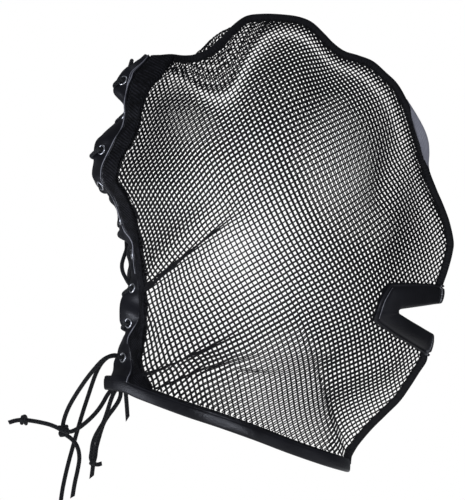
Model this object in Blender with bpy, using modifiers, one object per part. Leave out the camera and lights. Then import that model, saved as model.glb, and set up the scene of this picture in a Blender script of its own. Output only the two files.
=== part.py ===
"""A lace-up net hood: two net side panels joined by a bound ridge seam over the crown and face,
a leather frame round the mouth opening, a leather collar, and two eyelet strips laced together
down the back.

Metres, +Z up. The wearer faces -Y and +X is the wearer's left. The origin is the inner crown,
where the hood sits on the head.
"""
from math import atan2, cos, hypot, pi, sin, tau

import bmesh
import bpy
import numpy as np
from mathutils import Vector

# Driving sizes of the hood.
HEIGHT = 0.294
DEPTH = 0.234
HALF_WIDTH = 0.078
BACK_GAP_HALF = 0.033
MOUTH_BAND_PROUD = 0.0006
NECK_HALF_WIDTH = 0.058

# Walls and strips.
NET_WALL = 0.0012
SEAM_THICKNESS = 0.0030
SEAM_BAND = 0.0050
HEM_THICKNESS = 0.0030
STRIP_THICKNESS = 0.0018
COLLAR_HEIGHT = 0.0090
COLLAR_THICKNESS = 0.0030
MOUTH_BAND_THICKNESS = 0.0028
CLEARANCE = 0.0004
TOUCH_GAP = 0.0003

# Eyelets and lace. Heights are shares of HEIGHT.
EYELETS_PER_SIDE = 9
FIRST_EYELET = -0.132
LAST_EYELET = -0.732
EYELET_OUTER = 0.0031
EYELET_BORE = 0.0017
EYELET_WALL = 0.0004
EYELET_CROWN = 0.0008
EYELET_FLAT = 0.0090
LACE_DIAMETER = 0.0026
LACE_STAND_OFF = 0.0046
LACE_CROSS_OFF = 0.0030
LACE_END_OUT = 0.0034
CORD_POINT_STEP = 0.0068

# Mesh fineness.
PANEL_COLUMNS = 21
FACE_ROWS = 3
NOSE_ROWS = 3
COLLAR_END_SECTIONS = 4
ROUND_SIDES = 10
LACE_RESOLUTION = 2

# The ear, where each side panel is widest: forward and up, as shares of DEPTH and HEIGHT.
EAR = (-0.019, -0.422)

# Outer edge of the crown seam, from above the mouth over the crown to the back:
# forward (of DEPTH), up (of HEIGHT), sideways wave to the wearer's left (of HALF_WIDTH).
CROWN = [
    (0.470, -0.570, 0.000),
    (0.484, -0.537, 0.007),
    (0.495, -0.502, 0.013),
    (0.497, -0.478, 0.013),
    (0.486, -0.437, 0.007),
    (0.470, -0.402, 0.000),
    (0.451, -0.367, -0.013),
    (0.432, -0.328, 0.000),
    (0.418, -0.289, 0.027),
    (0.407, -0.252, 0.040),
    (0.393, -0.215, 0.027),
    (0.372, -0.176, 0.000),
    (0.344, -0.137, -0.020),
    (0.311, -0.111, -0.027),
    (0.276, -0.087, -0.013),
    (0.235, -0.074, 0.013),
    (0.199, -0.065, 0.020),
    (0.169, -0.048, 0.007),
    (0.142, -0.026, -0.013),
    (0.109, -0.002, -0.020),
    (0.071, 0.010, -0.013),
    (0.022, 0.015, 0.000),
    (-0.027, 0.016, 0.013),
    (-0.071, 0.011, 0.007),
    (-0.107, -0.009, -0.040),
    (-0.139, -0.037, -0.093),
    (-0.172, -0.059, -0.133),
    (-0.205, -0.072, -0.147),
    (-0.240, -0.075, -0.120),
    (-0.276, -0.072, -0.067),
    (-0.311, -0.074, -0.013),
]

# Outer edge of the face seam, from below the mouth to the collar: forward, up.
FACE = [
    (0.423, -0.741),
    (0.402, -0.767),
    (0.377, -0.798),
    (0.350, -0.828),
    (0.311, -0.859),
    (0.273, -0.889),
    (0.238, -0.922),
    (0.221, -0.944),
]

# Frame of the mouth opening, from the front above it, round its corner, to the front below it:
# outer edge forward and up, inner edge forward and up.
MOUTH = [
    (0.464, -0.574, 0.454, -0.615),
    (0.391, -0.570, 0.404, -0.621),
    (0.317, -0.570, 0.347, -0.627),
    (0.292, -0.607, 0.342, -0.630),
    (0.273, -0.652, 0.343, -0.636),
    (0.322, -0.680, 0.369, -0.649),
    (0.372, -0.704, 0.399, -0.663),
    (0.423, -0.730, 0.434, -0.680),
]

# The back of each side, top to bottom: height, then how far forward the net's edge, the eyelet
# strip's near edge and its rear edge lie, then the half gap at the first two, of BACK_GAP_HALF.
BACK = [
    (-0.102, -0.284, -0.350, -0.391, 0.48, 0.34),
    (-0.125, -0.305, -0.372, -0.425, 0.60, 0.45),
    (-0.154, -0.339, -0.391, -0.434, 0.72, 0.55),
    (-0.191, -0.355, -0.395, -0.410, 0.84, 0.64),
    (-0.228, -0.361, -0.402, -0.434, 0.93, 0.70),
    (-0.270, -0.385, -0.426, -0.486, 0.97, 0.74),
    (-0.309, -0.415, -0.454, -0.501, 1.00, 0.76),
    (-0.346, -0.421, -0.462, -0.489, 1.00, 0.76),
    (-0.383, -0.391, -0.434, -0.451, 1.00, 0.76),
    (-0.420, -0.374, -0.415, -0.426, 1.00, 0.76),
    (-0.459, -0.366, -0.396, -0.415, 1.00, 0.76),
    (-0.498, -0.358, -0.374, -0.402, 1.00, 0.79),
    (-0.537, -0.352, -0.372, -0.404, 1.00, 0.79),
    (-0.578, -0.347, -0.380, -0.391, 1.00, 0.76),
    (-0.628, -0.347, -0.366, -0.417, 1.03, 0.82),
    (-0.676, -0.347, -0.380, -0.396, 1.06, 0.82),
    (-0.717, -0.352, -0.385, -0.421, 1.12, 0.88),
    (-0.761, -0.358, -0.380, -0.437, 1.21, 0.97),
]
REAR_GAP_SHARE = 0.48

# Top edge of the collar, back to front: forward, up.
COLLAR_TOP = [
    (-0.445, -0.772),
    (-0.399, -0.779),
    (-0.361, -0.789),
    (-0.243, -0.832),
    (-0.148, -0.851),
    (-0.049, -0.877),
    (0.046, -0.907),
    (0.139, -0.937),
    (0.213, -0.953),
]
COLLAR_BACK_GAP = 0.38

# Where the three back lines stand on the collar, from its front (0) to its back end (1).
COLLAR_FEET = (0.80, 0.87, 0.985)

# How full the panel is between the ear and its edge, by the edge's direction from the ear in
# degrees (0 forward, 90 up): a higher number stays wide for longer before it turns in.
FULLNESS = [
    (-180, 2.6),
    (-125, 2.2),
    (-70, 2.0),
    (-30, 1.9),
    (0, 2.0),
    (45, 2.4),
    (90, 2.7),
    (135, 2.8),
    (180, 2.6),
]

# Main folds of the net: start forward and up, end forward and up, half width (of DEPTH) and
# height of the ridge (of HALF_WIDTH, negative for a valley).
FOLDS = [
    (-0.333, -0.581, -0.093, -0.415, 0.030, -0.055),
    (-0.333, -0.530, -0.120, -0.385, 0.036, 0.040),
    (-0.350, -0.757, -0.165, -0.709, 0.024, 0.034),
    (-0.180, -0.713, 0.150, -0.726, 0.026, 0.030),
    (-0.340, -0.785, -0.090, -0.741, 0.026, -0.030),
    (0.150, -0.800, 0.330, -0.745, 0.040, 0.035),
    (0.300, -0.500, 0.400, -0.300, 0.045, 0.030),
    (0.290, -0.380, 0.360, -0.180, 0.030, -0.022),
]

# Puffs of the wearer's left panel beside the seam: forward, up, radius (of DEPTH), rise (of HEIGHT).
PUFFS = [
    (-0.160, -0.040, 0.100, 0.034),
    (-0.235, -0.070, 0.080, 0.014),
]

# Routes of the loose lace, in metres (sideways, back, up), each a smooth curve through its points.
END_RIGHT_ROUTE = [
    (-0.0242, 0.0985, -0.2145), (-0.0256, 0.1012, -0.2141), (-0.0268, 0.1050, -0.2150),
    (-0.0268, 0.1090, -0.2177), (-0.0255, 0.1135, -0.2226), (-0.0235, 0.1180, -0.2282),
    (-0.0212, 0.1225, -0.2346), (-0.0188, 0.1266, -0.2410), (-0.0165, 0.1302, -0.2476),
    (-0.0145, 0.1328, -0.2545), (-0.0130, 0.1337, -0.2600), (-0.0120, 0.1325, -0.2648),
    (-0.0115, 0.1290, -0.2690), (-0.0112, 0.1262, -0.2737), (-0.0112, 0.1252, -0.2795),
    (-0.0114, 0.1261, -0.2865), (-0.0118, 0.1273, -0.2940), (-0.0120, 0.1280, -0.3020),
    (-0.0120, 0.1282, -0.3062),
]
END_LEFT_ROUTE = [
    (0.0242, 0.0985, -0.2145), (0.0256, 0.1012, -0.2141), (0.0262, 0.1050, -0.2152),
    (0.0250, 0.1085, -0.2182), (0.0220, 0.1112, -0.2222), (0.0180, 0.1136, -0.2276),
    (0.0135, 0.1158, -0.2340), (0.0090, 0.1180, -0.2408), (0.0050, 0.1202, -0.2475),
    (0.0015, 0.1222, -0.2540), (-0.0012, 0.1240, -0.2602), (-0.0030, 0.1257, -0.2662),
    (-0.0042, 0.1277, -0.2735), (-0.0050, 0.1299, -0.2815), (-0.0056, 0.1320, -0.2900),
    (-0.0060, 0.1338, -0.2985), (-0.0062, 0.1350, -0.3065), (-0.0062, 0.1356, -0.3140),
]
BOW_ROUTE = [
    (-0.0163, 0.1002, -0.2336), (-0.0150, 0.1030, -0.2362), (-0.0146, 0.1056, -0.2398),
    (-0.0150, 0.1082, -0.2444), (-0.0158, 0.1112, -0.2488), (-0.0167, 0.1150, -0.2531),
    (-0.0175, 0.1194, -0.2571), (-0.0181, 0.1240, -0.2605), (-0.0184, 0.1288, -0.2626),
    (-0.0182, 0.1335, -0.2620), (-0.0172, 0.1378, -0.2598), (-0.0160, 0.1425, -0.2580),
    (-0.0150, 0.1475, -0.2568), (-0.0143, 0.1530, -0.2558), (-0.0138, 0.1590, -0.2551),
    (-0.0135, 0.1640, -0.2556), (-0.0133, 0.1683, -0.2569),
]
TAIL_FRONT_ROUTE = [
    (-0.0203, 0.0996, -0.2354), (-0.0208, 0.1014, -0.2385), (-0.0210, 0.1030, -0.2425),
    (-0.0210, 0.1044, -0.2470), (-0.0210, 0.1060, -0.2520), (-0.0210, 0.1082, -0.2567),
    (-0.0210, 0.1112, -0.2610), (-0.0210, 0.1140, -0.2655), (-0.0210, 0.1157, -0.2705),
    (-0.0210, 0.1162, -0.2752), (-0.0208, 0.1157, -0.2796), (-0.0203, 0.1140, -0.2828),
    (-0.0196, 0.1114, -0.2836), (-0.0190, 0.1088, -0.2829),
]
TAIL_REAR_ROUTE = [
    (-0.0180, 0.0968, -0.2356), (-0.0172, 0.0968, -0.2392), (-0.0166, 0.0982, -0.2432),
    (-0.0162, 0.1010, -0.2475), (-0.0158, 0.1044, -0.2520), (-0.0154, 0.1070, -0.2568),
    (-0.0152, 0.1084, -0.2620), (-0.0152, 0.1098, -0.2675), (-0.0152, 0.1114, -0.2730),
    (-0.0152, 0.1130, -0.2785), (-0.0152, 0.1143, -0.2840), (-0.0152, 0.1153, -0.2918),
]
TIP_ROUTE = [
    (-0.0206, 0.0942, -0.2332), (-0.0208, 0.0936, -0.2368), (-0.0206, 0.0932, -0.2410),
    (-0.0202, 0.0928, -0.2460), (-0.0198, 0.0925, -0.2505), (-0.0196, 0.0922, -0.2545),
]

# The knots of the loose lace: where on which cord (share of its length), length and radius.
KNOTS = {
    "knot_meeting": (END_RIGHT_ROUTE, 0.50, 0.0046, 0.0034),
    "knot_stopper": (BOW_ROUTE, 0.885, 0.0040, 0.0030),
    "knot_small": (TAIL_FRONT_ROUTE, 0.95, 0.0024, 0.0030),
}
TIE_KNOT = (-0.0194, 0.0980, -0.2315)
TIE_KNOT_RADIUS = 0.0034


def smooth_curve(points, count):
    """Read count evenly spread points from a smooth curve through the given ones."""
    p = np.array(points, float)
    ends = np.vstack([2 * p[0] - p[1], p, 2 * p[-1] - p[-2]])
    fine = []
    for i in range(len(p) - 1):
        a, b, c, d = ends[i:i + 4]
        for t in np.linspace(0, 1, 24, endpoint=False):
            fine.append(0.5 * (2 * b + (c - a) * t + (2 * a - 5 * b + 4 * c - d) * t**2
                               + (3 * b - a - 3 * c + d) * t**3))
    fine.append(p[-1])
    fine = np.array(fine)
    run = np.concatenate([[0], np.cumsum(np.linalg.norm(np.diff(fine[:, :3], axis=0), axis=1))])
    wanted = np.linspace(0, run[-1], count)
    return np.array([np.interp(wanted, run, fine[:, k]) for k in range(fine.shape[1])]).T


def place(forward, up, sideways=0.0):
    """A point from its shares of DEPTH and HEIGHT, and its sideways distance in metres."""
    return np.array([sideways, -forward * DEPTH, up * HEIGHT])


EAR_Y, EAR_Z = place(*EAR)[1:]


def seam_edges(rows, count, band):
    """Outer and inner edge lines of a seam fin."""
    outer = smooth_curve([place(r[0], r[1], (r[2] if len(r) > 2 else 0) * HALF_WIDTH) for r in rows],
                         count)
    along = np.gradient(outer, axis=0)
    inward = np.cross(along, [1.0, 0, 0])
    inward /= np.linalg.norm(inward, axis=1)[:, None]
    to_ear = np.array([0, EAR_Y, EAR_Z]) - outer
    inward *= np.sign((inward * to_ear).sum(axis=1))[:, None]
    return outer, outer + inward * band


def collar_top_height(y):
    """Height of the collar's top edge at a place along the depth."""
    rows = np.array([place(*r)[1:] for r in COLLAR_TOP])
    order = np.argsort(rows[:, 0])
    return float(np.interp(y, rows[order, 0], rows[order, 1]))


def collar_plan(turn):
    """A point of the collar's round in plan; turn runs from -1 (back right) to 1 (back left)."""
    front = -COLLAR_TOP[-1][0] * DEPTH + COLLAR_THICKNESS / 2
    back = -COLLAR_TOP[0][0] * DEPTH - COLLAR_THICKNESS / 2
    squeeze = (1 - COLLAR_BACK_GAP**2) ** 0.5
    half_long = (back - front) / (1 + squeeze)
    centre = front + half_long
    last = pi - atan2(COLLAR_BACK_GAP, squeeze)
    angle = turn * last
    return np.array([NECK_HALF_WIDTH * sin(angle), centre - half_long * cos(angle)])


def collar_foot(turn, above=CLEARANCE):
    """A point that stands on the collar's top edge, on the left side."""
    x, y = collar_plan(turn)
    return np.array([x, y, collar_top_height(y) + above])


def back_line(column, gap_column, foot_turn, gap_share=1.0):
    """One of the three lines down the back of the left side, from the top to the collar."""
    rows = [place(r[column], r[0], r[gap_column] * BACK_GAP_HALF * gap_share) for r in BACK]
    return smooth_curve(rows + [collar_foot(foot_turn, 2 * CLEARANCE)], 400)


def at_height(line, height):
    """The point of a back line at a height."""
    order = np.argsort(line[:, 2])
    return np.array([np.interp(height, line[order, 2], line[order, k]) for k in range(3)])


NET_EDGE = back_line(1, 4, COLLAR_FEET[0])
STRIP_NEAR = back_line(2, 5, COLLAR_FEET[1])
STRIP_REAR = back_line(3, 5, COLLAR_FEET[2], REAR_GAP_SHARE)


def eyelet_frames():
    """Centre, outward, towards the middle, down, and half width of the strip at each eyelet."""
    frames = []
    for height in np.linspace(FIRST_EYELET, LAST_EYELET, EYELETS_PER_SIDE) * HEIGHT:
        above, here, below = [
            (at_height(STRIP_NEAR, z) + at_height(STRIP_REAR, z)) / 2
            for z in (height + EYELET_FLAT / 2, height, height - EYELET_FLAT / 2)]
        across = at_height(STRIP_REAR, height) - at_height(STRIP_NEAR, height)
        half = np.linalg.norm(across) / 2
        across /= 2 * half
        down = below - above
        down /= np.linalg.norm(down)
        outward = np.cross(across, down)
        outward /= np.linalg.norm(outward)
        outward *= 1 if outward[1] > 0 else -1
        frames.append((here, outward, across, down, half))
    return frames


EYELET_FRAMES = eyelet_frames()


def back_sections():
    """Net edge, strip's near and rear edge and outward direction, for each section from the top.

    The strip is flat under each eyelet and bends between them.
    """
    top = [line[0] for line in (NET_EDGE, STRIP_NEAR, STRIP_REAR)]
    foot = [line[-1] for line in (NET_EDGE, STRIP_NEAR, STRIP_REAR)]
    sections = [(*top, EYELET_FRAMES[0][1])]
    for centre, outward, across, down, half in EYELET_FRAMES:
        for end in (-EYELET_FLAT / 2, EYELET_FLAT / 2):
            near = centre + down * end - across * half
            rear = centre + down * end + across * half
            sections.append((at_height(NET_EDGE, near[2]), near, rear, outward))
    plan = np.array(collar_plan(COLLAR_FEET[1])) - np.array([0, collar_plan(0.5)[1]])
    sections.append((*foot, np.array([*plan, 0.0]) / np.linalg.norm(plan)))
    return sections


BACK_SECTIONS = back_sections()
PANEL_ROWS = len(BACK_SECTIONS) + 1
SEAM_SIDE = SEAM_THICKNESS / 2 + CLEARANCE + NET_WALL / 2
SEAM_INSET = SEAM_BAND - NET_WALL
FRONT_TURN = SEAM_SIDE / NECK_HALF_WIDTH / 2.7


def net_outline():
    """The net's edge round a side panel, without the notch of the mouth: y, z, half gap, wave."""
    _, crown = seam_edges(CROWN, 90, SEAM_INSET)
    _, face = seam_edges(FACE, 30, SEAM_INSET)
    rows = [(p[1], p[2], SEAM_SIDE, p[0]) for p in crown]
    rows += [(p[1], p[2], max(p[0], SEAM_SIDE), 0.0) for p in NET_EDGE[::6]]
    for turn in np.linspace(COLLAR_FEET[0], FRONT_TURN, 50)[1:]:
        x, y, z = collar_foot(turn)
        rows.append((y, z, max(x, SEAM_SIDE), 0.0))
    rows += [(p[1], p[2], SEAM_SIDE, 0.0) for p in face[::-1][2:]]
    return np.array(rows)


OUTLINE = net_outline()
OUTLINE_ANGLE = np.degrees(np.arctan2(OUTLINE[:, 1] - EAR_Z, -(OUTLINE[:, 0] - EAR_Y)))
OUTLINE_ORDER = np.argsort(OUTLINE_ANGLE)
OUTLINE_RADIUS = np.hypot(OUTLINE[:, 0] - EAR_Y, OUTLINE[:, 1] - EAR_Z)


def at_angle(angle, values):
    """Read a value that is kept round the outline at an angle in degrees."""
    return float(np.interp(angle, OUTLINE_ANGLE[OUTLINE_ORDER], values[OUTLINE_ORDER], period=360))


def fold_height(y, z):
    """How far the folds lift the net at a place of the side view."""
    total = 0.0
    for f0, u0, f1, u1, half, rise in FOLDS:
        start = place(f0, u0)[1:]
        run = place(f1, u1)[1:] - start
        here = np.array([y, z]) - start
        t = float(here @ run / (run @ run))
        across = np.linalg.norm(here - np.clip(t, 0, 1) * run) / (half * DEPTH)
        total += rise * HALF_WIDTH * np.exp(-across**2)
    return total


def panel_point(y, z, side):
    """A point of a side panel's middle surface; side is 1 on the wearer's left, -1 on the right."""
    angle = np.degrees(atan2(z - EAR_Z, -(y - EAR_Y)))
    share = min(1.0, hypot(y - EAR_Y, z - EAR_Z) / at_angle(angle, OUTLINE_RADIUS))
    fullness = float(np.interp(angle, *np.array(FULLNESS).T))
    edge = at_angle(angle, OUTLINE[:, 3]) + side * at_angle(angle, OUTLINE[:, 2])
    x = edge + (side * HALF_WIDTH - edge) * (1 - share**fullness)
    x += side * min(1.0, (1 - share) / 0.10) * fold_height(y, z)
    point = np.array([x, y, z])
    if side > 0:
        for forward, up, radius, rise in PUFFS:
            off = hypot(y + forward * DEPTH, z - up * HEIGHT) / (radius * DEPTH)
            point[2] += rise * HEIGHT * np.exp(-off**2) * min(1.0, (1 - share) / 0.12)
    return point


def mouth_rows():
    """Outer and inner edge of the mouth frame on one side, above to below, as y and z pairs."""
    rows = [(place(r[0], r[1])[1:], place(r[2], r[3])[1:]) for r in MOUTH]
    filled = []
    for (o, i), (o_next, i_next) in zip(rows, rows[1:]):
        filled += [(o, i), ((o + o_next) / 2, (i + i_next) / 2)]
    return filled + [rows[-1]]


def notch_line():
    """The net's edge round the mouth frame, above to below, clear of the frame's outer edge."""
    outer = np.array([o for o, i in mouth_rows()])
    step = np.gradient(outer, axis=0)
    away = np.stack([step[:, 1], -step[:, 0]], axis=1)
    away /= np.linalg.norm(away, axis=1)[:, None]
    corner = len(outer) // 2
    away *= np.sign(away[corner] @ (np.array([EAR_Y, EAR_Z]) - outer[corner]))
    return outer + away * (CLEARANCE + NET_WALL / 4)


def panel_edges(side):
    """The four edges of a side panel as points: bottom and top back to front, back and front
    from the collar up."""
    _, crown = seam_edges(CROWN, PANEL_COLUMNS + NOSE_ROWS, SEAM_INSET)
    crown = crown + np.array([side * SEAM_SIDE, 0, 0])
    top = crown[NOSE_ROWS:][::-1]
    bottom = [collar_foot(t) for t in np.linspace(COLLAR_FEET[0], FRONT_TURN, PANEL_COLUMNS)]
    bottom = np.array([(side * x, y, z + NET_WALL / 2) for x, y, z in bottom])
    back = []
    for edge, near, rear, outward in BACK_SECTIONS[::-1]:
        away = (edge - near) / np.linalg.norm(edge - near)
        back.append((edge + away * CLEARANCE) * np.array([side, 1, 1]))
    back[0] = bottom[0]
    back.append(top[0])
    _, face = seam_edges(FACE, FACE_ROWS + 1, SEAM_INSET)
    front = [p + np.array([side * SEAM_SIDE, 0, 0]) for p in face[::-1][:FACE_ROWS]]
    front += [panel_point(y, z, side) for y, z in notch_line()[::-1]]
    front = front[:-1] + list(crown[:NOSE_ROWS + 1])
    front[0], front[-1] = bottom[-1], top[-1]
    return bottom, top, np.array(back), np.array(front)


def panel_grid(side):
    """Rows and columns of points that fill a side panel between its four edges."""
    bottom, top, back, front = panel_edges(side)
    rows = []
    for j, t in enumerate(np.linspace(0, 1, PANEL_ROWS)):
        row = []
        for i, s in enumerate(np.linspace(0, 1, PANEL_COLUMNS)):
            if j in (0, PANEL_ROWS - 1):
                row.append((bottom if j == 0 else top)[i])
                continue
            if i in (0, PANEL_COLUMNS - 1):
                row.append((back if i == 0 else front)[j])
                continue
            over = top[i] - (1 - s) * top[0] - s * top[-1]
            under = bottom[i] - (1 - s) * bottom[0] - s * bottom[-1]
            spot = (1 - s) * back[j] + s * front[j] + t**3 * over + (1 - t) * under
            row.append(panel_point(*spot[1:], side))
        rows.append(row)
    return rows


def material(name, colour, roughness, metallic=0.0):
    """A Principled material in one colour."""
    made = bpy.data.materials.new(name)
    made.use_nodes = True
    shader = made.node_tree.nodes["Principled BSDF"]
    shader.inputs["Base Color"].default_value = (*colour, 1.0)
    shader.inputs["Roughness"].default_value = roughness
    shader.inputs["Metallic"].default_value = metallic
    return made


def add_object(name, mesh, finish):
    """Put a mesh in the hood's collection under a name, with its material."""
    piece = bpy.data.objects.new(name, mesh)
    mesh.materials.clear()
    mesh.materials.append(finish)
    HOOD.objects.link(piece)
    mesh.shade_smooth()
    mesh.set_sharp_from_angle(angle=0.7)
    return piece


def mesh_of(name, points, faces):
    """A mesh from points and faces, its normals turned outward."""
    work = bmesh.new()
    corners = [work.verts.new(p) for p in points]
    for face in faces:
        work.faces.new([corners[i] for i in face])
    bmesh.ops.recalc_face_normals(work, faces=work.faces)
    mesh = bpy.data.meshes.new(name)
    work.to_mesh(mesh)
    work.free()
    return mesh


def loft(name, rings, finish, closed=False):
    """A solid through a row of like rings of points, capped at its ends unless it is a loop."""
    size = len(rings[0])
    points = [p for ring in rings for p in ring]
    faces = []
    last = len(rings) if closed else len(rings) - 1
    for j in range(last):
        low, high = j * size, (j + 1) % len(rings) * size
        for i in range(size):
            k = (i + 1) % size
            faces.append((low + i, low + k, high + k, high + i))
    if not closed:
        faces.append(tuple(range(size)))
        faces.append(tuple(range(len(points) - size, len(points))))
    return add_object(name, mesh_of(name, points, faces), finish)


def strip_ring(edge_a, edge_b, outward, thickness, round_share=0.35):
    """A flat strip's section between two edges, with bevelled corners."""
    across = edge_b - edge_a
    width = np.linalg.norm(across)
    across = across / width
    outward = outward - across * (outward @ across)
    outward /= np.linalg.norm(outward)
    half, cut = thickness / 2, thickness * round_share
    corners = [(0, half - cut), (cut, half), (width - cut, half), (width, half - cut),
               (width, cut - half), (width - cut, -half), (cut, -half), (0, cut - half)]
    return [edge_a + across * a + outward * n for a, n in corners]


def net_panels():
    """The two net side panels, each one curved cloth wall."""
    for name, side in (("net_panel_right", -1), ("net_panel_left", 1)):
        grid = panel_grid(side)
        points = [p for row in grid for p in row]
        faces = []
        for j in range(PANEL_ROWS - 1):
            for i in range(PANEL_COLUMNS - 1):
                a = j * PANEL_COLUMNS + i
                quad = (a, a + 1, a + PANEL_COLUMNS + 1, a + PANEL_COLUMNS)
                faces.append(quad if side < 0 else quad[::-1])
        mesh = bpy.data.meshes.new(name)
        mesh.from_pydata(points, [], faces)
        panel = add_object(name, mesh, NET)
        wall = panel.modifiers.new("wall", "SOLIDIFY")
        wall.thickness = NET_WALL
        wall.offset = 0


def seams():
    """The two bound seams that stand as a ridge between the panels."""
    outer, inner = seam_edges(CROWN, 2 * (PANEL_COLUMNS + NOSE_ROWS) - 1, SEAM_BAND)
    for line in (outer, inner):
        line[1:-1:2, 0] = (line[:-2:2, 0] + line[2::2, 0]) / 2
    sideways = np.array([1.0, 0, 0])
    rings = [strip_ring(o, i, sideways, SEAM_THICKNESS) for o, i in zip(outer, inner)]
    loft("crown_seam", rings, BINDING)
    outer, inner = seam_edges(FACE, FACE_ROWS + 1, SEAM_BAND)
    rings = [strip_ring(o, i, sideways, SEAM_THICKNESS) for o, i in zip(outer, inner)]
    loft("face_seam", rings, BINDING)


def mouth_band():
    """The leather frame round the mouth opening, one closed loop across both sides."""
    left = [(panel_point(*o, 1), panel_point(*i, 1)) for o, i in mouth_rows()]
    for point in (*left[0], *left[-1]):
        point[0] = 0.0
    mirror = np.array([-1, 1, 1])
    right = [(o * mirror, i * mirror) for o, i in left[1:-1]][::-1]
    rings = []
    for o, i in left + right:
        outward = np.array([(o[0] + i[0]) / 2, -HALF_WIDTH / 2, 0.0])
        shift = outward / np.linalg.norm(outward) * MOUTH_BAND_PROUD
        rings.append(strip_ring(o + shift, i + shift, outward, MOUTH_BAND_THICKNESS))
    loft("mouth_band", rings, LEATHER, closed=True)


def collar():
    """The leather collar band, open at the back."""
    side = np.concatenate([np.linspace(0, COLLAR_FEET[0], (PANEL_COLUMNS + 1) // 2),
                           np.linspace(COLLAR_FEET[0], 1, COLLAR_END_SECTIONS)[1:]])
    turns = np.concatenate([-side[:0:-1], side])
    middle = np.array([0, collar_plan(0.5)[1]])
    rings = []
    for turn in turns:
        x, y = collar_plan(turn)
        chord = collar_plan(turn + 0.01) - collar_plan(turn - 0.01)
        outward = np.array([chord[1], -chord[0], 0.0])
        outward *= np.sign(outward[:2] @ (np.array([x, y]) - middle))
        top = np.array([x, y, collar_top_height(y)])
        low = top - np.array([0, 0, COLLAR_HEIGHT])
        rings.append(strip_ring(top, low, outward, COLLAR_THICKNESS))
    loft("collar", rings, LEATHER)


def turned(name, profile, sides=ROUND_SIDES):
    """A ring turned about Z from a closed profile of radius and height pairs."""
    work = bmesh.new()
    corners = [work.verts.new((r, 0, h)) for r, h in profile]
    edges = [work.edges.new((a, b)) for a, b in zip(corners, corners[1:] + corners[:1])]
    bmesh.ops.spin(work, geom=corners + edges, axis=(0, 0, 1), cent=(0, 0, 0), angle=tau,
                   steps=sides, use_merge=True)
    bmesh.ops.recalc_face_normals(work, faces=work.faces)
    mesh = bpy.data.meshes.new(name)
    work.to_mesh(mesh)
    work.free()
    return mesh


def set_upright(piece, centre, outward):
    """Move a piece to a place, with its Z along a direction."""
    piece.location = centre
    piece.rotation_euler = Vector(outward).to_track_quat("Z", "Y").to_euler()


def hole_cutter(word, flip):
    """One mesh of round pegs, a peg through each eyelet hole of a strip."""
    work = bmesh.new()
    for centre, outward, across, down, half in EYELET_FRAMES:
        turn = Vector(outward * flip).to_track_quat("Z", "Y").to_matrix().to_4x4()
        turn.translation = centre * flip
        bmesh.ops.create_cone(work, cap_ends=True, segments=ROUND_SIDES, matrix=turn,
                              radius1=EYELET_BORE + EYELET_WALL + TOUCH_GAP,
                              radius2=EYELET_BORE + EYELET_WALL + TOUCH_GAP,
                              depth=4 * STRIP_THICKNESS)
    mesh = bpy.data.meshes.new(f"eyelet_holes_{word}")
    work.to_mesh(mesh)
    work.free()
    cutter = bpy.data.objects.new(mesh.name, mesh)
    cutter.hide_render = True
    cutter.display_type = "WIRE"
    CUTTERS.objects.link(cutter)
    return cutter


def back_strips():
    """The gathered hems and the eyelet strips with their holes, on both sides of the back."""
    for word, side in (("right", -1), ("left", 1)):
        flip = np.array([side, 1, 1])
        hem, strip = [], []
        for edge, near, rear, outward in BACK_SECTIONS:
            step = (near - edge) / np.linalg.norm(near - edge)
            hem_out = outward - step * (outward @ step)
            ring = strip_ring(edge + step * CLEARANCE, near - step * CLEARANCE, hem_out, HEM_THICKNESS)
            hem.append([p * flip for p in ring])
            ring = strip_ring(near, rear, outward, STRIP_THICKNESS)
            strip.append([p * flip for p in ring])
        loft(f"back_hem_{word}", hem, BINDING)
        piece = loft(f"eyelet_strip_{word}", strip, LEATHER)
        holes = piece.modifiers.new("eyelet_holes", "BOOLEAN")
        holes.object = hole_cutter(word, flip)
        holes.operation = "DIFFERENCE"
        holes.solver = "EXACT"


def eyelets():
    """The metal eyelets, each with its barrel through the strip and its rim outside."""
    under, over = STRIP_THICKNESS / 2 + TOUCH_GAP, STRIP_THICKNESS / 2 + TOUCH_GAP + EYELET_CROWN
    profile = [(EYELET_BORE, -under), (EYELET_BORE + EYELET_WALL, under), (EYELET_OUTER, under),
               (EYELET_BORE, over)]
    for word, side in (("right", -1), ("left", 1)):
        for number, (centre, outward, across, down, half) in enumerate(EYELET_FRAMES, 1):
            flip = np.array([side, 1, 1])
            name = f"eyelet_{word}_{number}"
            piece = add_object(name, turned(name, profile), METAL)
            set_upright(piece, centre * flip, outward * flip)


def cord(name, points, finish, count=0):
    """A round cord: a tube through the route's points, or along a smooth curve read from them."""
    curve = bpy.data.curves.new(name, "CURVE")
    curve.dimensions = "3D"
    curve.bevel_depth = LACE_DIAMETER / 2
    curve.bevel_resolution = LACE_RESOLUTION
    curve.use_fill_caps = True
    line = smooth_curve(points, count) if count else points
    spline = curve.splines.new("POLY")
    spline.points.add(len(line) - 1)
    for spot, p in zip(spline.points, line):
        spot.co = (*p, 1.0)
    curve.materials.append(finish)
    piece = bpy.data.objects.new(name, curve)
    HOOD.objects.link(piece)
    return piece


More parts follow.
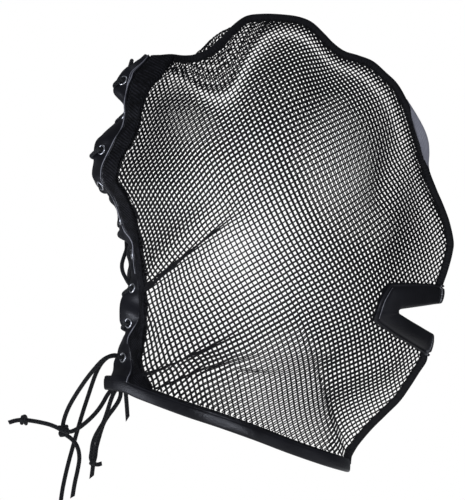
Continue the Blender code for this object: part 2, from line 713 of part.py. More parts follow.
def lace_route():
    """The lace's whole held run: up one strand from the last right eyelet, across, down the other.

    Each strand comes up through an eyelet from inside, bends round the strip's rear edge, crosses
    the gap and goes in behind the other strip.
    """
    strands = []
    for first_side in (1, -1):
        route = []
        for k, (centre, outward, across, down, half) in enumerate(EYELET_FRAMES):
            flip = np.array([first_side * (-1)**k, 1, 1])
            rise, aside = outward * LACE_STAND_OFF, across * LACE_DIAMETER * 0.4
            if k > 0:
                before, _, before_across, _, before_half = EYELET_FRAMES[k - 1]
                middle = (before + before_across * before_half + centre + across * half) / 2
                middle += np.array([0, first_side * (-1)**k * LACE_CROSS_OFF, 0])
                route.append(middle * np.array([0, 1, 1]))
                route.append((centre - rise + across * half * 0.8 - down * half * 0.6) * flip)
            route.append((centre - rise * 0.85 + aside) * flip)
            route.append((centre - outward * STRIP_THICKNESS) * flip)
            last = k == EYELETS_PER_SIDE - 1
            route.append((centre + outward * (LACE_END_OUT if last else STRIP_THICKNESS * 1.3)) * flip)
            if not last:
                route.append((centre + rise + aside) * flip)
                beyond = across * (half + LACE_DIAMETER * 0.7) + down * half * 0.6
                route.append((centre + rise * 0.75 + beyond) * flip)
        strands.append(route)
    centre, outward, across, down, half = EYELET_FRAMES[0]
    bar = (centre - outward * LACE_STAND_OFF) * np.array([0, 1, 1])
    return strands[1][::-1] + [bar] + strands[0]


def lace():
    """The held lace, drawn exactly through the points that it is threaded by."""
    cord("lace", lace_route(), LACE)


def cord_points(route):
    """How many points a loose cord's tube is read at, about one in every few diameters."""
    length = sum(np.linalg.norm(np.subtract(b, a)) for a, b in zip(route, route[1:]))
    return max(4, round(length / CORD_POINT_STEP))


def knot(name, route, share, length, radius):
    """A knot as a turned bead, on the straight of a cord's tube nearest to a share of its run."""
    line = smooth_curve(route, cord_points(route))
    k = min(len(line) - 2, int(share * (len(line) - 1)))
    inner = LACE_DIAMETER / 2 + 2 * TOUCH_GAP
    profile = [(inner, -length / 2), (radius, -length / 4), (radius, length / 4), (inner, length / 2)]
    piece = add_object(name, turned(name, profile), LACE)
    set_upright(piece, (line[k] + line[k + 1]) / 2, line[k + 1] - line[k])


def loose_lace():
    """The loose ends of the lace, with the knots that are tied in them."""
    routes = {"lace_end_right": END_RIGHT_ROUTE, "lace_end_left": END_LEFT_ROUTE,
              "lace_bow": BOW_ROUTE, "lace_tail_front": TAIL_FRONT_ROUTE,
              "lace_tail_rear": TAIL_REAR_ROUTE, "lace_tip": TIP_ROUTE}
    for name, route in routes.items():
        cord(name, route, LACE, cord_points(route))
    for name, (route, share, length, radius) in KNOTS.items():
        knot(name, route, share, length, radius)
    work = bmesh.new()
    bmesh.ops.create_uvsphere(work, u_segments=ROUND_SIDES, v_segments=6, radius=TIE_KNOT_RADIUS)
    mesh = bpy.data.meshes.new("knot_tie")
    work.to_mesh(mesh)
    work.free()
    add_object("knot_tie", mesh, LACE).location = TIE_KNOT


def main():
    net_panels()
    seams()
    mouth_band()
    collar()
    back_strips()
    eyelets()
    lace()
    loose_lace()


for old in list(bpy.data.objects):
    bpy.data.objects.remove(old, do_unlink=True)
HOOD = bpy.data.collections.new("net_hood")
bpy.context.scene.collection.children.link(HOOD)
CUTTERS = bpy.data.collections.new("cutters")
bpy.context.scene.collection.children.link(CUTTERS)
NET = material("net", (0.020, 0.020, 0.022), 0.75)
BINDING = material("binding", (0.016, 0.016, 0.018), 0.65)
LEATHER = material("leather", (0.024, 0.026, 0.030), 0.38)
LACE = material("lace", (0.014, 0.014, 0.015), 0.80)
METAL = material("eyelet_metal", (0.45, 0.46, 0.48), 0.30, 1.0)
main()
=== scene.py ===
# %% [markdown]
# # The looks of a lace-up net hood
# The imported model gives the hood's construction. This script gives it its cloth, leather, lace
# and metal. Each step says what the piece is on the real hood and how it is made here.

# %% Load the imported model
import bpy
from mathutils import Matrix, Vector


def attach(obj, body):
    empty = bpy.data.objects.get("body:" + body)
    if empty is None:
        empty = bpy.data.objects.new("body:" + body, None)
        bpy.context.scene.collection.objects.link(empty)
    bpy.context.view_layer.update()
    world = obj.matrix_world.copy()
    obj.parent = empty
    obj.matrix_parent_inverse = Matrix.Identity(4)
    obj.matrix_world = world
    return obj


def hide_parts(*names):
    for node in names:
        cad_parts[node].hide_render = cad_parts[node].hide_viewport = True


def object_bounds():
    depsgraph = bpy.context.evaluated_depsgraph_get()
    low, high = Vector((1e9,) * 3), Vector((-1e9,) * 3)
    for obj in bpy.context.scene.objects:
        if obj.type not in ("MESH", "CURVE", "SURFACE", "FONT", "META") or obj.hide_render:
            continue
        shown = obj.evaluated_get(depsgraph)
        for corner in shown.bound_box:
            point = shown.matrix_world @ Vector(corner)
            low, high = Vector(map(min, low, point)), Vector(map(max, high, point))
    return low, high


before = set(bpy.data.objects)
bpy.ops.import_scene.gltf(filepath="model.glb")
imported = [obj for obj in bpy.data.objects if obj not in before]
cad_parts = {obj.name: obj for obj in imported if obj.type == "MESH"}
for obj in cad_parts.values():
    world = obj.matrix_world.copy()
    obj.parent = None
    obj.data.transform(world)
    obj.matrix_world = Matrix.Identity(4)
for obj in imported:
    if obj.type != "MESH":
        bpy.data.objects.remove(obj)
CAD_BOX = [list(corner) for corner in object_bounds()]

from math import atan2, cos, hypot, pi, sin, tau

import bmesh
import bpy
import numpy as np
from mathutils import Vector

print("nodes", len(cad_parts))

# %% [markdown]
# ## Sizes and tables
# A sewn thing is described by a few lines: the ridge seam, the frame of the mouth, the collar and
# the three lines down each side of the back. They are the same tables that the construction
# uses, as shares of the named sizes, so each new piece lies where its solid lies.

# %% Named sizes, in metres
HEIGHT, DEPTH, HALF_WIDTH = 0.294, 0.234, 0.078
BACK_GAP_HALF, NECK_HALF_WIDTH = 0.033, 0.058
NET_WALL, CLEARANCE = 0.0012, 0.0004
SEAM_THICKNESS, SEAM_BAND = 0.0030, 0.0050
HEM_THICKNESS, STRIP_THICKNESS = 0.0030, 0.0018
HEM_WIDTH, STRIP_WIDTH = 0.010, 0.009
COLLAR_HEIGHT, COLLAR_THICKNESS = 0.0090, 0.0030
MOUTH_BAND_WIDTH, MOUTH_BAND_THICKNESS, MOUTH_BAND_PROUD = 0.012, 0.0028, 0.0006
EYELETS_PER_SIDE, FIRST_EYELET, LAST_EYELET = 9, -0.132, -0.732
EYELET_FLAT = 0.0090
LACE_DIAMETER, LACE_STAND_OFF, LACE_END_OUT = 0.0026, 0.0028, 0.0034

# %% Shape tables, as in the construction
EAR = (-0.019, -0.422)
# Crown seam: forward, up, sideways wave.
CROWN = [
    (0.461, -0.588, 0.000), (0.470, -0.570, 0.000), (0.484, -0.537, 0.007), (0.495, -0.502, 0.013),
    (0.497, -0.478, 0.013), (0.486, -0.437, 0.007), (0.470, -0.402, 0.000),
    (0.451, -0.367, -0.013), (0.432, -0.328, 0.000), (0.418, -0.289, 0.027),
    (0.407, -0.252, 0.040), (0.393, -0.215, 0.027), (0.372, -0.176, 0.000),
    (0.344, -0.137, -0.020), (0.311, -0.111, -0.027), (0.276, -0.087, -0.013),
    (0.235, -0.074, 0.013), (0.199, -0.065, 0.020), (0.169, -0.048, 0.007),
    (0.142, -0.026, -0.013), (0.109, -0.002, -0.020), (0.071, 0.010, -0.013),
    (0.022, 0.015, 0.000), (-0.027, 0.016, 0.013), (-0.071, 0.011, 0.007),
    (-0.107, -0.009, -0.040), (-0.139, -0.037, -0.093), (-0.172, -0.059, -0.133),
    (-0.205, -0.072, -0.147), (-0.240, -0.075, -0.120), (-0.276, -0.072, -0.067),
    (-0.311, -0.074, -0.013),
]
# Face seam: forward, up.
FACE = [
    (0.426, -0.722), (0.423, -0.741), (0.402, -0.767), (0.377, -0.798), (0.350, -0.828),
    (0.311, -0.859), (0.273, -0.889), (0.238, -0.922), (0.221, -0.944),
]
# Mouth frame: outer edge forward and up, inner edge forward and up.
MOUTH = [
    (0.464, -0.574, 0.454, -0.615), (0.391, -0.570, 0.404, -0.621),
    (0.317, -0.570, 0.347, -0.627), (0.292, -0.607, 0.342, -0.630),
    (0.273, -0.652, 0.343, -0.636), (0.322, -0.680, 0.369, -0.649),
    (0.372, -0.704, 0.399, -0.663), (0.423, -0.730, 0.434, -0.680),
]
# The back: height, net edge, strip's near edge, its rear edge, two shares of the half gap.
BACK = [
    (-0.077, -0.264, -0.330, -0.352, 0.36, 0.26),
    (-0.102, -0.284, -0.350, -0.391, 0.48, 0.34), (-0.125, -0.305, -0.372, -0.425, 0.60, 0.45),
    (-0.154, -0.339, -0.391, -0.434, 0.72, 0.55), (-0.191, -0.355, -0.395, -0.410, 0.84, 0.64),
    (-0.228, -0.361, -0.402, -0.434, 0.93, 0.70), (-0.270, -0.385, -0.426, -0.486, 0.97, 0.74),
    (-0.309, -0.415, -0.454, -0.501, 1.00, 0.76), (-0.346, -0.421, -0.462, -0.489, 1.00, 0.76),
    (-0.383, -0.391, -0.434, -0.451, 1.00, 0.76), (-0.420, -0.374, -0.415, -0.426, 1.00, 0.76),
    (-0.459, -0.366, -0.396, -0.415, 1.00, 0.76), (-0.498, -0.358, -0.374, -0.402, 1.00, 0.79),
    (-0.537, -0.352, -0.372, -0.404, 1.00, 0.79), (-0.578, -0.347, -0.380, -0.391, 1.00, 0.76),
    (-0.628, -0.347, -0.366, -0.417, 1.03, 0.82), (-0.676, -0.347, -0.380, -0.396, 1.06, 0.82),
    (-0.717, -0.352, -0.385, -0.421, 1.12, 0.88), (-0.761, -0.358, -0.380, -0.437, 1.21, 0.97),
]
REAR_GAP_SHARE = 0.48
# Collar's top edge: forward, up.
COLLAR_TOP = [
    (-0.445, -0.772), (-0.399, -0.779), (-0.361, -0.792), (-0.243, -0.827), (-0.148, -0.852),
    (-0.049, -0.880), (0.046, -0.909), (0.139, -0.935), (0.213, -0.953),
]
COLLAR_BACK_GAP = 0.38
COLLAR_FEET = (0.80, 0.87, 0.985)
# How full the panel is, by direction from the ear in degrees.
FULLNESS = np.array([(-180, 2.6), (-125, 2.2), (-70, 2.0), (-30, 1.9), (0, 2.0), (45, 2.4),
                     (90, 2.7), (135, 2.8), (180, 2.6)])
# Broad folds: start and end (forward, up), half width of DEPTH, height of HALF_WIDTH.
FOLDS = [
    (-0.333, -0.581, -0.093, -0.415, 0.030, -0.055), (-0.333, -0.530, -0.120, -0.385, 0.036, 0.040),
    (-0.350, -0.757, -0.165, -0.709, 0.024, 0.034), (-0.180, -0.713, 0.150, -0.726, 0.026, 0.030),
    (-0.340, -0.785, -0.090, -0.741, 0.026, -0.030), (0.150, -0.800, 0.330, -0.745, 0.040, 0.035),
    (0.300, -0.500, 0.400, -0.300, 0.045, 0.030), (0.290, -0.380, 0.360, -0.180, 0.030, -0.022),
]
# The folds fade out over this share of the way in from the panel's edge.
FOLD_FADE = 0.10
print("seam points", len(CROWN), "back sections", len(BACK))

# %% [markdown]
# ## Lines in space
# Every strip is drawn between two smooth lines. A smooth curve through a few chosen points, read
# at even steps, keeps the lines free of corners.


# %% Curves and the places that they pass
def run_along(line):
    """The distance from the start of a line to each of its points."""
    return np.concatenate([[0], np.cumsum(np.linalg.norm(np.diff(line, axis=0), axis=1))])


def smooth_curve(points, count, between=24):
    """Read count evenly spread points from a smooth curve through the given ones."""
    p = np.array(points, float)
    ends = np.vstack([2 * p[0] - p[1], p, 2 * p[-1] - p[-2]])
    fine = []
    for i in range(len(p) - 1):
        a, b, c, d = ends[i:i + 4]
        t = np.linspace(0, 1, between, endpoint=False)[:, None]
        fine.append(0.5 * (2 * b + (c - a) * t + (2 * a - 5 * b + 4 * c - d) * t**2
                           + (3 * b - a - 3 * c + d) * t**3))
    fine = np.vstack(fine + [p[-1:]])
    run = run_along(fine[:, :3])
    wanted = np.linspace(0, run[-1], count)
    return np.array([np.interp(wanted, run, fine[:, k]) for k in range(fine.shape[1])]).T


def unit(v):
    """Vectors scaled to a length of one."""
    return v / np.linalg.norm(v, axis=-1, keepdims=True)


def place(forward, up, sideways=0.0):
    """A point from its shares of DEPTH and HEIGHT, and its sideways distance in metres."""
    return np.array([sideways, -forward * DEPTH, up * HEIGHT])


EAR_Y, EAR_Z = place(*EAR)[1:]


def seam_edges(rows, count, band):
    """Outer and inner edge lines of a seam."""
    waves = [r[2] * HALF_WIDTH if len(r) > 2 else 0.0 for r in rows]
    outer = smooth_curve([place(r[0], r[1], wave) for r, wave in zip(rows, waves)], count)
    inward = unit(np.cross(np.gradient(outer, axis=0), [1.0, 0, 0]))
    inward *= np.sign((inward * (np.array([0, EAR_Y, EAR_Z]) - outer)).sum(axis=1))[:, None]
    return outer, outer + inward * band


def collar_top_height(y):
    """Height of the collar's top edge at places along the depth."""
    line = smooth_curve([place(*r) for r in COLLAR_TOP], 120)[::-1]
    return np.interp(y, line[:, 1], line[:, 2])


def collar_plan(turn):
    """A point of the collar's round in plan; turn runs from -1 (back right) to 1 (back left)."""
    front = -COLLAR_TOP[-1][0] * DEPTH + COLLAR_THICKNESS / 2
    back = -COLLAR_TOP[0][0] * DEPTH - COLLAR_THICKNESS / 2
    squeeze = (1 - COLLAR_BACK_GAP**2) ** 0.5
    half_long = (back - front) / (1 + squeeze)
    angle = turn * (pi - atan2(COLLAR_BACK_GAP, squeeze))
    return np.array([NECK_HALF_WIDTH * sin(angle), front + half_long - half_long * cos(angle)])


def collar_foot(turn, above=CLEARANCE):
    """A point that stands on the collar's top edge, on the left side."""
    x, y = collar_plan(turn)
    return np.array([x, y, collar_top_height(y) + above])


BACK_POINTS = 400


def back_line(column, gap_column, foot_turn, gap_share=1.0):
    """One of the three lines down the back of the left side, from the top to the collar."""
    rows = [place(r[column], r[0], r[gap_column] * BACK_GAP_HALF * gap_share) for r in BACK]
    return smooth_curve(rows + [collar_foot(foot_turn, 2 * CLEARANCE)], BACK_POINTS)


def at_height(line, height):
    """The point of a back line at a height."""
    order = np.argsort(line[:, 2])
    return np.array([np.interp(height, line[order, 2], line[order, k]) for k in range(3)])


NET_EDGE = back_line(1, 4, COLLAR_FEET[0])
STRIP_NEAR = back_line(2, 5, COLLAR_FEET[1])
STRIP_REAR = back_line(3, 5, COLLAR_FEET[2], REAR_GAP_SHARE)


def eyelet_frames():
    """Centre, outward, towards the middle, down, and half width of the strip at each eyelet."""
    frames = []
    for height in np.linspace(FIRST_EYELET, LAST_EYELET, EYELETS_PER_SIDE) * HEIGHT:
        above, here, below = [
            (at_height(STRIP_NEAR, z) + at_height(STRIP_REAR, z)) / 2
            for z in (height + EYELET_FLAT / 2, height, height - EYELET_FLAT / 2)]
        across = at_height(STRIP_REAR, height) - at_height(STRIP_NEAR, height)
        half = np.linalg.norm(across) / 2
        down = unit(below - above)
        outward = unit(np.cross(across, down))
        outward *= 1 if outward[1] > 0 else -1
        frames.append((here, outward, across / (2 * half), down, half))
    return frames


EYELET_FRAMES = eyelet_frames()


def back_sections():
    """Net edge, strip's near and rear edge and outward direction, for each section from the top."""
    top = [line[0] for line in (NET_EDGE, STRIP_NEAR, STRIP_REAR)]
    foot = [line[-1] for line in (NET_EDGE, STRIP_NEAR, STRIP_REAR)]
    sections = [(*top, EYELET_FRAMES[0][1])]
    for centre, outward, across, down, half in EYELET_FRAMES:
        for end in (-EYELET_FLAT / 2, EYELET_FLAT / 2):
            near = centre + down * end - across * half
            rear = centre + down * end + across * half
            sections.append((at_height(NET_EDGE, near[2]), near, rear, outward))
    plan = np.array(collar_plan(COLLAR_FEET[1])) - np.array([0, collar_plan(0.5)[1]])
    sections.append((*foot, np.array([*plan, 0.0]) / np.linalg.norm(plan)))
    return sections


BACK_SECTIONS = back_sections()
SEAM_SIDE = SEAM_THICKNESS / 2 + CLEARANCE + NET_WALL / 2
SEAM_INSET = SEAM_BAND - NET_WALL
FRONT_TURN = SEAM_SIDE / NECK_HALF_WIDTH / 2.7
print("eyelets", len(EYELET_FRAMES), "first at", np.round(EYELET_FRAMES[0][0], 4).tolist())

# %% [markdown]
# ## The skin that the net lies on
# Net takes the form of what is under it. Each side is a shallow dome that is widest at the ear and
# falls to its edge: the seam, the back line or the collar. Its height above the middle plane is
# a power of the distance from the ear, which one number by direction makes fuller or flatter.


# %% The dome of one side
def net_outline():
    """The net's edge round a side panel: y, z, half gap, wave."""
    _, crown = seam_edges(CROWN, 90, SEAM_INSET)
    _, face = seam_edges(FACE, 30, SEAM_INSET)
    rows = [(p[1], p[2], SEAM_SIDE, p[0]) for p in crown]
    rows += [(p[1], p[2], max(p[0], SEAM_SIDE), 0.0) for p in NET_EDGE[::6]]
    for turn in np.linspace(COLLAR_FEET[0], FRONT_TURN, 50)[1:]:
        x, y, z = collar_foot(turn)
        rows.append((y, z, max(x, SEAM_SIDE), 0.0))
    rows += [(p[1], p[2], SEAM_SIDE, 0.0) for p in face[::-1][2:]]
    return np.array(rows)


OUTLINE = net_outline()
OUTLINE_ANGLE = np.degrees(np.arctan2(OUTLINE[:, 1] - EAR_Z, -(OUTLINE[:, 0] - EAR_Y)))
OUTLINE_ORDER = np.argsort(OUTLINE_ANGLE)
OUTLINE_RADIUS = np.hypot(OUTLINE[:, 0] - EAR_Y, OUTLINE[:, 1] - EAR_Z)


def at_angle(angle, values):
    """Read a value that is kept round the outline at angles in degrees."""
    return np.interp(angle, OUTLINE_ANGLE[OUTLINE_ORDER], values[OUTLINE_ORDER], period=360)


def fold_height(y, z):
    """How far the broad folds lift the net."""
    total = 0.0
    for f0, u0, f1, u1, half, rise in FOLDS:
        start, end = place(f0, u0)[1:], place(f1, u1)[1:]
        run = end - start
        t = np.clip(((y - start[0]) * run[0] + (z - start[1]) * run[1]) / (run @ run), 0, 1)
        across = np.hypot(y - start[0] - t * run[0], z - start[1] - t * run[1]) / (half * DEPTH)
        total = total + rise * HALF_WIDTH * np.exp(-across**2)
    return total


def skin(y, z, side):
    """Points of a side's middle surface; side is 1 on the wearer's left, -1 on the right."""
    y, z = np.asarray(y, float), np.asarray(z, float)
    angle = np.degrees(np.arctan2(z - EAR_Z, -(y - EAR_Y)))
    share = np.minimum(1.0, np.hypot(y - EAR_Y, z - EAR_Z) / at_angle(angle, OUTLINE_RADIUS))
    fullness = np.interp(angle, *FULLNESS.T)
    edge = at_angle(angle, OUTLINE[:, 3]) + side * at_angle(angle, OUTLINE[:, 2])
    x = edge + (side * HALF_WIDTH - edge) * (1 - share**fullness)
    x = x + side * np.minimum(1.0, (1 - share) / FOLD_FADE) * fold_height(y, z)
    return np.stack([x, y, z], axis=-1)


def skin_normal(y, z, side, step=0.0008):
    """Outward direction of the skin."""
    along_y = skin(y + step, z, side) - skin(y - step, z, side)
    along_z = skin(y, z + step, side) - skin(y, z - step, side)
    normal = unit(np.cross(along_y, along_z))
    return normal * np.sign(normal[..., :1] * side + 1e-9)


print("ear", skin(EAR_Y, EAR_Z, 1).round(4).tolist())

# %% [markdown]
# ## Camera, light and floor
# The hood is seen square from its right side, on white, from far away with a very long lens. So the
# two nets, which are mirror images, lie nearly over one another and the mesh reads clearly.

# %% Camera
PIXEL = 0.00064
FRAME_WIDE, FRAME_HIGH = 465, 500
ORIGIN_PIXEL = (272, 21)
CAMERA_AWAY = 10.0
SENSOR = 0.036


def from_pixel(column, row, x=0.0):
    """The point of the middle plane behind a place in the frame."""
    return Vector((x, -(column - ORIGIN_PIXEL[0]) * PIXEL, (ORIGIN_PIXEL[1] - row) * PIXEL))


camera = bpy.data.objects.new("camera", bpy.data.cameras.new("camera"))
bpy.context.scene.collection.objects.link(camera)
camera.data.sensor_width = SENSOR * 1000
camera.data.lens = SENSOR * CAMERA_AWAY / (FRAME_HIGH * PIXEL) * 1000
camera.location = from_pixel(FRAME_WIDE / 2, FRAME_HIGH / 2, -CAMERA_AWAY)
camera.rotation_euler = (pi / 2, 0, -pi / 2)
camera.data.clip_end = CAMERA_AWAY * 5
bpy.context.scene.camera = camera
print("lens", round(camera.data.lens, 1), "mm")

# %% [markdown]
# White all round gives the soft rim light of a light tent, and four soft lamps give the
# leather its long dull highlights. The surroundings look white to the camera and are dimmer as
# a light, because black leather would turn grey in a white room.

# %% Light and floor
SKY_TINT, SKY_STRENGTH = (0.86, 0.90, 1.0), 0.12
world = bpy.data.worlds.new("surroundings")
bpy.context.scene.world = world
world.use_nodes = True
sky = world.node_tree
sky.nodes.clear()
seen, lit = sky.nodes.new("ShaderNodeBackground"), sky.nodes.new("ShaderNodeBackground")
seen.inputs["Color"].default_value = (1, 1, 1, 1)
lit.inputs["Color"].default_value = (*SKY_TINT, 1)
lit.inputs["Strength"].default_value = SKY_STRENGTH
pick, path, out = (sky.nodes.new(f"ShaderNode{kind}") for kind in
                   ("MixShader", "LightPath", "OutputWorld"))
sky.links.new(path.outputs["Is Camera Ray"], pick.inputs["Fac"])
sky.links.new(lit.outputs[0], pick.inputs[1])
sky.links.new(seen.outputs[0], pick.inputs[2])
sky.links.new(pick.outputs[0], out.inputs["Surface"])


# The square soft lamps, turned to the hood's middle: place, side in metres, power in watts.
HOOD_MIDDLE = Vector((0, 0, -0.15))
LAMP_TINT = (0.84, 0.88, 1.0)
LAMPS = {
    "lamp_key": ((-1.5, 0.02, -0.22), 0.22, 6.5),
    "lamp_rear": ((-0.32, 1.3, -0.55), 0.45, 7.5),
    "lamp_front": ((-0.5, -1.3, -0.3), 0.5, 0.5),
    "lamp_top": ((0.2, 0.0, 1.4), 0.8, 3),
}
for name, (location, size, power) in LAMPS.items():
    data = bpy.data.lights.new(name, "AREA")
    data.shape, data.size, data.energy, data.color = "SQUARE", size, power, LAMP_TINT
    made = bpy.data.objects.new(name, data)
    made.location = location
    made.rotation_euler = (HOOD_MIDDLE - Vector(location)).to_track_quat("-Z", "Y").to_euler()
    bpy.context.scene.collection.objects.link(made)


def baked(name, work):
    """The mesh of a bmesh, which is then let go."""
    mesh = bpy.data.meshes.new(name)
    work.to_mesh(mesh)
    work.free()
    return mesh


FLOOR_DROP, FLOOR_RADIUS, FLOOR_BACK = 0.020, 0.40, 0.03
work = bmesh.new()
bmesh.ops.create_circle(work, cap_ends=True, segments=96, radius=FLOOR_RADIUS)
bmesh.ops.translate(work, vec=(0, FLOOR_BACK, CAD_BOX[0][2] - FLOOR_DROP), verts=work.verts)
floor = bpy.data.objects.new("floor", baked("floor", work))
bpy.context.scene.collection.objects.link(floor)
scene = bpy.context.scene
scene.view_settings.view_transform = "Standard"
scene.view_settings.look = "None"
print("floor at", round(CAD_BOX[0][2] - FLOOR_DROP, 3))

# %% [markdown]
# ## Shader maths as Python
# A finish is a small graph of nodes. Wrapping a socket in a class with operators lets the maths be
# written as a sum, and each sum adds its own Math nodes.


# %% Sockets that can be added and multiplied
class Signal:
    """A socket of numbers that takes part in Python sums."""

    def __init__(self, finish, socket):
        self.finish, self.socket = finish, socket

    def math(self, operation, *others):
        inputs = dict(enumerate([self, *others]))
        return self.finish.node("Math", {"operation": operation}, inputs)[0]

    def __add__(self, other):
        return self.math("ADD", other)

    def __sub__(self, other):
        return self.math("SUBTRACT", other)

    def __mul__(self, other):
        return self.math("MULTIPLY", other)


class Finish:
    """A Principled material that is built from sums and a few named nodes."""

    def __init__(self, name, **settings):
        self.material = bpy.data.materials.new(name)
        self.material.use_nodes = True
        self.tree = self.material.node_tree
        self.shader = self.tree.nodes["Principled BSDF"]
        for socket, value in settings.items():
            self.shader.inputs[socket.replace("_", " ")].default_value = value

    def node(self, kind, settings=None, inputs=None):
        """Add a node, set its own settings first, then its sockets; return its outputs."""
        made = self.tree.nodes.new("ShaderNode" + kind)
        for key, value in (settings or {}).items():
            setattr(made, key, value)
        for key, value in (inputs or {}).items():
            if isinstance(value, Signal):
                self.tree.links.new(value.socket, made.inputs[key])
            else:
                made.inputs[key].default_value = value
        return [Signal(self, socket) for socket in made.outputs]

    def coordinates(self, kind="Object"):
        """The piece's own space, or its UV map."""
        return self.node("TexCoord")[{"UV": 2, "Object": 3}[kind]]

    def noise(self, scale, detail, roughness):
        return self.node("TexNoise", None, {"Vector": self.coordinates(), "Scale": scale,
                                            "Detail": detail, "Roughness": roughness})[0]

    def between(self, value, low, high, to_low=0.0, to_high=1.0):
        """A smooth step of a value from one range to another."""
        return self.node("MapRange", {"interpolation_type": "SMOOTHSTEP"},
                         {"Value": value, "From Min": low, "From Max": high,
                          "To Min": to_low, "To Max": to_high})[0]

    def blend(self, share, first, second):
        """A colour between two colours."""
        mixed = self.node("Mix", {"data_type": "RGBA"}, {"Factor": share})
        made = mixed[2].socket.node
        for socket, value in ((made.inputs[6], first), (made.inputs[7], second)):
            if isinstance(value, Signal):
                self.tree.links.new(value.socket, socket)
            else:
                socket.default_value = (*value, 1.0)
        return mixed[2]

    def feed(self, **sockets):
        """Link sums to sockets of the shader."""
        for name, value in sockets.items():
            self.tree.links.new(value.socket, self.shader.inputs[name.replace("_", " ")])

    def bump(self, height, depth):
        """Relief in metres, as a normal."""
        return self.node("Bump", None, {"Height": height, "Distance": depth, "Strength": 1.0})[0]


print("shader helpers ready")

# %% [markdown]
# ## The finishes
# The leather is a thin dyed hide: near black with a cold tint, a fine pebble grain, soft creases
# and a satin shine that is duller in some patches. The bound seams are a matt ribbed tape. The net
# is a dull yarn. The lace is a round braid, whose plait follows the cord's own UV map.

# %% Leather
COLD_BLACK = (0.0040, 0.0040, 0.0062)
leather = Finish("charcoal_leather", Specular_IOR_Level=0.42, Roughness=0.42)
grain = leather.node("TexVoronoi", {"feature": "SMOOTH_F1"},
                     {"Vector": leather.coordinates(), "Scale": 1150.0, "Smoothness": 0.35})[0]
crease = leather.noise(170.0, 4.0, 0.6)
patch = leather.noise(38.0, 3.0, 0.55)
leather.feed(
    Base_Color=leather.blend(leather.between(patch, 0.35, 0.7), COLD_BLACK, (0.009, 0.009, 0.013)),
    Roughness=leather.between(patch, 0.3, 0.7, 0.28, 0.42),
    Normal=leather.bump(grain * 0.35 + crease * 0.65, 0.00022))

# %% Bound tape, gathered net and piping
tape = Finish("ribbed_tape", Specular_IOR_Level=0.25, Roughness=0.62, Sheen_Weight=0.04)
ribs = tape.node("TexWave", {"wave_type": "BANDS", "bands_direction": "X"},
                 {"Vector": tape.coordinates("UV"), "Scale": 160.0, "Distortion": 0.6,
                  "Detail": 1.0})[1]
fleck = tape.noise(1500.0, 2.0, 0.6)
tape.feed(Base_Color=tape.blend(fleck, (0.004, 0.004, 0.0055), (0.010, 0.010, 0.012)),
          Normal=tape.bump(ribs * 0.7 + fleck * 0.3, 0.00022))

RIB_PITCH, RIB_SLANT = 0.0020, 0.011
FACE_TURN = 0.43
gather = Finish("gathered_net", Specular_IOR_Level=0.20, Roughness=0.65)
along, turn, _ = gather.node("SeparateXYZ", None, {0: gather.coordinates("UV")})
swing = (along * 90.0).math("SINE") * 2.5
pleats = ((along + turn * (RIB_SLANT / FACE_TURN)) * (pi / RIB_PITCH) + swing).math("SINE")
pleats = pleats.math("ABSOLUTE")
uneven = gather.between(gather.noise(260.0, 3.0, 0.6), 0.35, 0.65)
lint = gather.noise(1900.0, 2.0, 0.6)
# Painted highlight: the pleats' crests are coloured lighter, in uneven patches and flecks, and the
# hollows between them stay near black.
painted_pleat_highlight = gather.between(pleats, 0.55, 1.0) * uneven * (lint * 0.6 + 0.7)
gather.feed(Base_Color=gather.blend(painted_pleat_highlight, (0.0022, 0.0022, 0.003), (0.024, 0.024, 0.030)),
            Normal=gather.bump(pleats * 0.7 + lint * 0.3, 0.0004))

# Painted highlight: the piping is coloured light grey for the light along the leather's folded
# edge, and a slow noise breaks it into near black patches. The frame's stitch thread takes the same
# finish.
piping = Finish("painted_highlight_and_thread", Specular_IOR_Level=0.7, Roughness=0.28)
twill = piping.noise(900.0, 2.0, 0.5)
highlight_patches = piping.between(piping.noise(60.0, 2.0, 0.5), 0.35, 0.6)
piping.feed(Normal=piping.bump(twill, 0.0001),
            Base_Color=piping.blend(highlight_patches, (0.03, 0.03, 0.035), (0.40, 0.40, 0.44)))

turned_binding_highlight = Finish("turned_binding_painted_highlight", Specular_IOR_Level=0.5, Roughness=0.38)
warp = turned_binding_highlight.node("TexWave", {"wave_type": "BANDS", "bands_direction": "Y"},
                  {"Vector": turned_binding_highlight.coordinates("UV"), "Scale": 6.0, "Distortion": 3.0,
                   "Detail": 3.0})[1]
# Painted highlight: the turned binding is coloured light grey in streaks, for the light that the
# twisted tape catches; the tape is otherwise near black.
turned_binding_highlight.feed(Base_Color=turned_binding_highlight.blend(warp, (0.30, 0.30, 0.34), (0.52, 0.52, 0.57)),
           Normal=turned_binding_highlight.bump(warp, 0.0002))

# %% Net yarn
yarn = Finish("net_yarn", Specular_IOR_Level=0.25, Roughness=0.75)
fuzz = yarn.noise(2400.0, 2.0, 0.6)
yarn.feed(Base_Color=yarn.blend(fuzz, (0.006, 0.006, 0.007), (0.016, 0.016, 0.018)),
          Normal=yarn.bump(fuzz, 0.0001))

# %% Braided lace
PLAITS_ROUND, PLAIT_PITCH = 8, 0.0021
braid = Finish("braided_lace", Specular_IOR_Level=0.25, Roughness=0.78, Sheen_Weight=0.10)
around = braid.node("SeparateXYZ", None, {0: braid.coordinates("UV")})
swirl = around[1] * (PLAITS_ROUND / 2 * tau)
travel = around[0] * (tau / PLAIT_PITCH)
left_hand = (swirl + travel).math("SINE")
right_hand = (swirl - travel).math("SINE")
plait = left_hand.math("MAXIMUM", right_hand)
# Painted shade and highlight: the grooves between the plaits are coloured darker and their crests
# lighter.
braid.feed(Base_Color=braid.blend(braid.between(plait, -0.2, 0.9), (0.005, 0.005, 0.006),
                                  (0.017, 0.018, 0.020)),
           Normal=braid.bump(plait, 0.00025))

